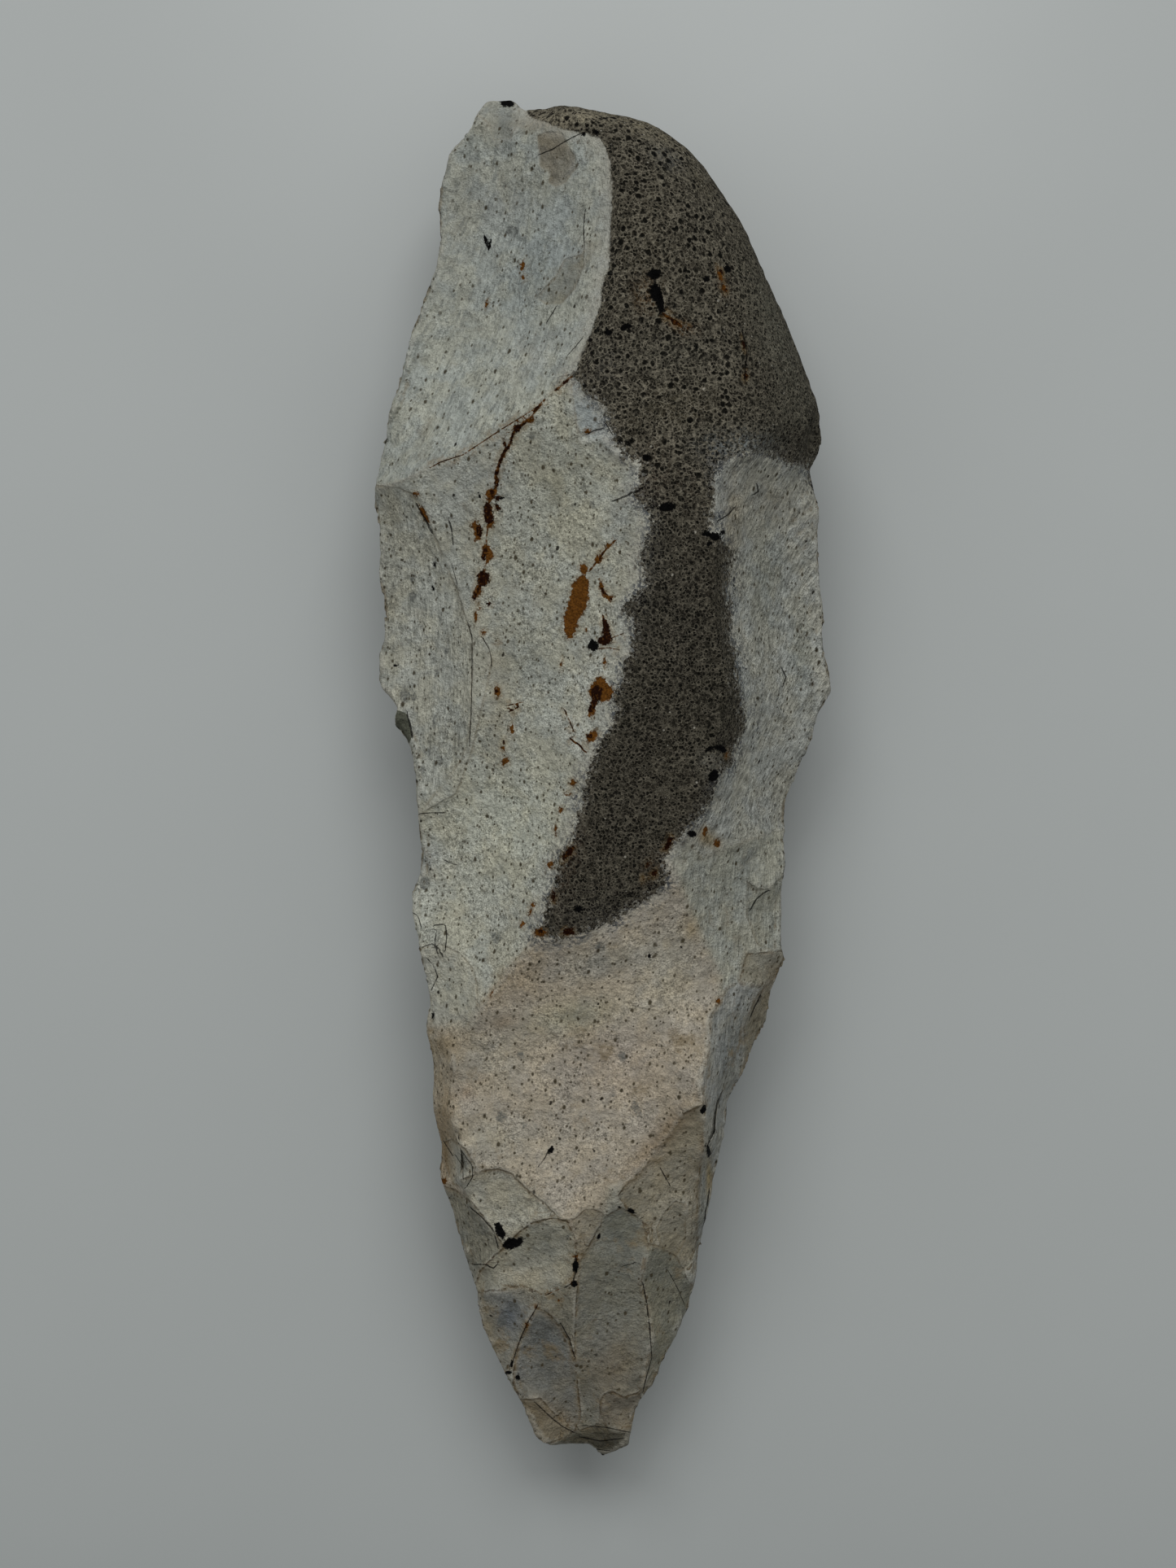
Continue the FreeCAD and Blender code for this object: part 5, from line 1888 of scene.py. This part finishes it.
    def paint_regions(self, mesh: bpy.types.Mesh, pixels: np.ndarray, top: np.ndarray) -> None:
        """Store where the rind has a pale halo, is fine or ends crisply, and where dirt gathers.

        Args:
            mesh: The stone's mesh.
            pixels: The photograph pixel of each corner.
            top: How far each corner belongs to the upper face.
        """
        columns, rows = pixels[:, 0], pixels[:, 1]
        self.store(mesh, "halo", smooth_fall(columns, *self.halo_columns) * top)
        fine = np.maximum(smooth_step(columns, *self.fine_columns),
                          smooth_step(rows, *self.fine_rows))
        self.store(mesh, "coarse", 1 - self.fine_share * fine * top)
        crisp = smooth_fall(rows, *self.crisp_rows)
        self.store(mesh, "feather", 1 - self.crisp_share * crisp)
        dirty = smooth_step(rows, *self.dirty_rows)
        self.store(mesh, "darkening", self.least_dirt + (1 - self.least_dirt) * dirty)

    def paint_scars(self, mesh: bpy.types.Mesh, pixels: np.ndarray,
                    top: np.ndarray) -> tuple[np.ndarray, np.ndarray]:
        """Lay the scars' tones over each other and store what their borders and grain need.

        Args:
            mesh: The stone's mesh.
            pixels: The photograph pixel of each corner.
            top: How far each corner belongs to the upper face.

        Returns:
            The linear tones, and how far each corner lies outside the rind in millimetres.
        """
        tone = np.tile(tone_of(self.bare), (len(pixels), 1))
        grains = {grain: np.zeros(len(pixels)) for grain in Grain if grain is not Grain.NONE}
        seam = np.full(len(pixels), FAR_PX)
        traits = {name: np.zeros(len(pixels)) for name in ("line", "stain")}
        speckle = np.full(len(pixels), self.plain_speckle)
        for scar in SCARS:
            gap = border_distance(pixels, scar.border)
            taken = (gap < 0) | (np.abs(gap) < np.abs(seam))
            seam = np.where(taken, gap, seam)
            for name, values in traits.items():
                traits[name] = np.where(taken, getattr(scar, name), values)
            if scar.name == RIND:
                break
            cover = smooth_fall(gap, -scar.soften, scar.soften)
            tone = tone * (1 - cover[:, None]) + tone_of(scar.colour) * cover[:, None]
            speckle = speckle * (1 - cover) + scar.speckle * cover
            for grain in grains:
                grains[grain] = grains[grain] * (1 - cover) + cover * (scar.grain is grain)
        near = smooth_fall(np.abs(seam), *self.seam_fade_px) * top
        self.store(mesh, "seam", np.clip(seam / PX_PER_MM, -self.seam_reach, self.seam_reach))
        for name, values in traits.items():
            self.store(mesh, "seam_" + name, values * near)
        shown = self.hidden_speckle + (speckle - self.hidden_speckle) * top
        self.store(mesh, "speckle", shown)
        share = self.hidden_grain + (1 - self.hidden_grain) * top
        for grain, mask in grains.items():
            self.store(mesh, "grain_" + grain.name.lower(), mask * share)
        return tone, gap / PX_PER_MM

    @staticmethod
    def under_rind(places: np.ndarray) -> np.ndarray:
        """Give how far each place lies outside the rind that is left on the underside.

        Args:
            places: The corners of the mesh, in metres.

        Returns:
            One distance for each corner, in millimetres.
        """
        foot, side, lean, roundness = 36.0, 7.0, 0.25, 5.0
        crown_top, crown_middle, crown_bend = 70.0, 4.0, 0.012
        x, y = places[:, 0] / MM, places[:, 1] / MM
        wander = 1.7 * wave_noise(places / MM, 4.0, 20.0, 3) * smooth_fall(x, 15, 24)
        beside = side - lean * (y - foot) - x
        flank = roundness * np.logaddexp((foot - y) / roundness, beside / roundness) + wander
        crown = crown_top + crown_bend * (x - crown_middle) ** 2 - y
        return np.minimum(flank, crown)

    def crest(self, mesh: bpy.types.Mesh) -> np.ndarray:
        """Measure how sharply each corner of the mesh stands proud of its surroundings.

        Args:
            mesh: The stone's mesh.

        Returns:
            Positive values on ridges and negative ones in valleys, about 1 on the sharpest.
        """
        places, normals = self.shape(mesh)
        ends = np.empty(len(mesh.edges) * 2, np.int32)
        mesh.edges.foreach_get("vertices", ends)
        first, second = ends[::2], ends[1::2]
        size = len(places)
        count = np.maximum(np.bincount(ends, minlength=size), 1)
        run, turn = places[second] - places[first], normals[second] - normals[first]
        bend = np.einsum("ij,ij->i", turn, run) / np.maximum(np.einsum("ij,ij->i", run, run), 1e-12)
        sharp = (np.bincount(first, bend, size) + np.bincount(second, bend, size)) / count
        for _ in range(2):
            spread = (np.bincount(first, sharp[second], size)
                      + np.bincount(second, sharp[first], size))
            sharp = 0.5 * sharp + 0.5 * spread / count
        return np.clip(sharp * MM, -1, 1)

    def build(self) -> bpy.types.Object:
        """Make the stone, from the solid's copy to its finish.

        Returns:
            The finished piece.
        """
        piece = self.copy_solid()
        log.info("%s: %d corners", piece.name, len(piece.data.vertices))
        relief = Relief(self.view)
        relief.cast(piece.data)
        relief.solve()
        self.carve(piece, relief)
        self.chip_margins(piece, relief)
        self.weather(piece)
        bpy.ops.object.shade_smooth()
        self.paint(piece)
        piece.data.materials.append(StoneMaterial().build())
        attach(piece, "root")
        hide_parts(self.node_name)
        return piece


@dataclass
class Studio:
    """The pale table with painted light on it, brighter towards its far end and in a painted glow whose
    sizes are in millimetres, the soft lamps and the plain surroundings.
    """

    painted_bright_far_colour: Colour = (174, 178, 177)
    painted_dim_near_colour: Colour = (142, 146, 145)
    beyond_colour: Colour = (157, 161, 160)
    table_reach: float = 1.6
    # painted light that brightens the table towards its far end
    painted_light_half: float = 92.0
    painted_light_power: float = 0.70
    painted_light_share: float = 0.69
    # a painted glow of light on the table near the middle of its far end
    glow_centre: tuple[float, float, float] = (6, 100, 0)
    glow_reach: float = 70.0
    glow_share: float = 0.46
    unevenness: Cloud = Cloud(26.0, 3.0)
    unevenness_share: float = 0.08
    fill: float = 0.50
    lamp_strength: float = 1.08
    lamp_spread: float = 30.0
    lamp_ways: tuple[tuple[float, float, float], ...] = ((-0.31, 0.78, 0.85), (0.26, 0.80, 0.85))

    def make_table(self) -> None:
        """Lay the table under the stone, with painted light that makes it lighter towards its far end and
        its middle.
        """
        bpy.ops.object.select_all(action="DESELECT")
        bpy.ops.mesh.primitive_plane_add(size=2 * self.table_reach, location=(0, 0, 0))
        table = bpy.context.object
        table.name = "table"
        graph = Graph("pale_table")
        place = graph.place()
        far = graph.node("ShaderNodeSeparateXYZ", {}, {0: place}, 1)
        far = ((far + self.painted_light_half) / (2 * self.painted_light_half)).most(0.0).least(1.0)
        away = graph.vector("DISTANCE", place, self.glow_centre, 1)
        # Painted light: the table runs from the dim near colour to the bright far colour, with a painted
        # glow near its far end
        tone = graph.maths("POWER", far, self.painted_light_power) * self.painted_light_share
        tone = tone + away.rise(self.glow_reach, 0.0) * self.glow_share
        tone = tone + (graph.noise(place, self.unevenness) - 0.5) * self.unevenness_share
        colour = graph.blend(tone, linear(self.painted_dim_near_colour), linear(self.painted_bright_far_colour))
        graph.links.new(colour.socket, graph.shader.inputs["Base Color"])
        graph.shader.inputs["Roughness"].default_value = 0.9
        graph.shader.inputs["Specular IOR Level"].default_value = 0.0
        table.data.materials.append(graph.material)

    def make_lamp(self, name: str, way: tuple[float, float, float]) -> None:
        """Hang one soft lamp.

        Args:
            name: The lamp's name.
            way: Where it stands, seen from the stone.
        """
        data = bpy.data.lights.new(name, "SUN")
        data.energy = self.lamp_strength
        data.angle = math.radians(self.lamp_spread)
        lamp = bpy.data.objects.new(name, data)
        lamp.rotation_euler = Vector(way).to_track_quat("Z", "Y").to_euler()
        bpy.context.scene.collection.objects.link(lamp)

    def make_surroundings(self) -> None:
        """Fill the shadows with even light and show the table's own tone behind it."""
        world = bpy.data.worlds.new("plain_room")
        world.use_nodes = True
        bpy.context.scene.world = world
        nodes, links = world.node_tree.nodes, world.node_tree.links
        light = nodes["Background"]
        light.inputs["Color"].default_value = (1, 1, 1, 1)
        light.inputs["Strength"].default_value = self.fill
        seen = nodes.new("ShaderNodeBackground")
        seen.inputs["Color"].default_value = linear(self.beyond_colour)
        seen.inputs["Strength"].default_value = 1.0
        path = nodes.new("ShaderNodeLightPath")
        choice = nodes.new("ShaderNodeMixShader")
        links.new(path.outputs["Is Camera Ray"], choice.inputs[0])
        links.new(light.outputs[0], choice.inputs[1])
        links.new(seen.outputs[0], choice.inputs[2])
        links.new(choice.outputs[0], nodes["World Output"].inputs["Surface"])

    def build(self) -> None:
        """Set up the table, the lamps and the surroundings."""
        self.make_table()
        for name, way in zip(("left_lamp", "right_lamp"), self.lamp_ways):
            self.make_lamp(name, way)
        self.make_surroundings()
        bpy.context.scene.view_settings.view_transform = "Standard"


def main() -> None:
    """Build the stone and the studio around it."""
    logging.basicConfig(level=logging.INFO, format="%(name)s %(message)s")
    view = PhotoView()
    view.make_camera()
    stone = FlintStone(view).build()
    stone.data.calc_loop_triangles()
    log.info("%s: %d triangles", stone.name, len(stone.data.loop_triangles))
    Studio().build()
    log.info("table, lamps and camera are set")


if __name__ == "__main__":
    main()
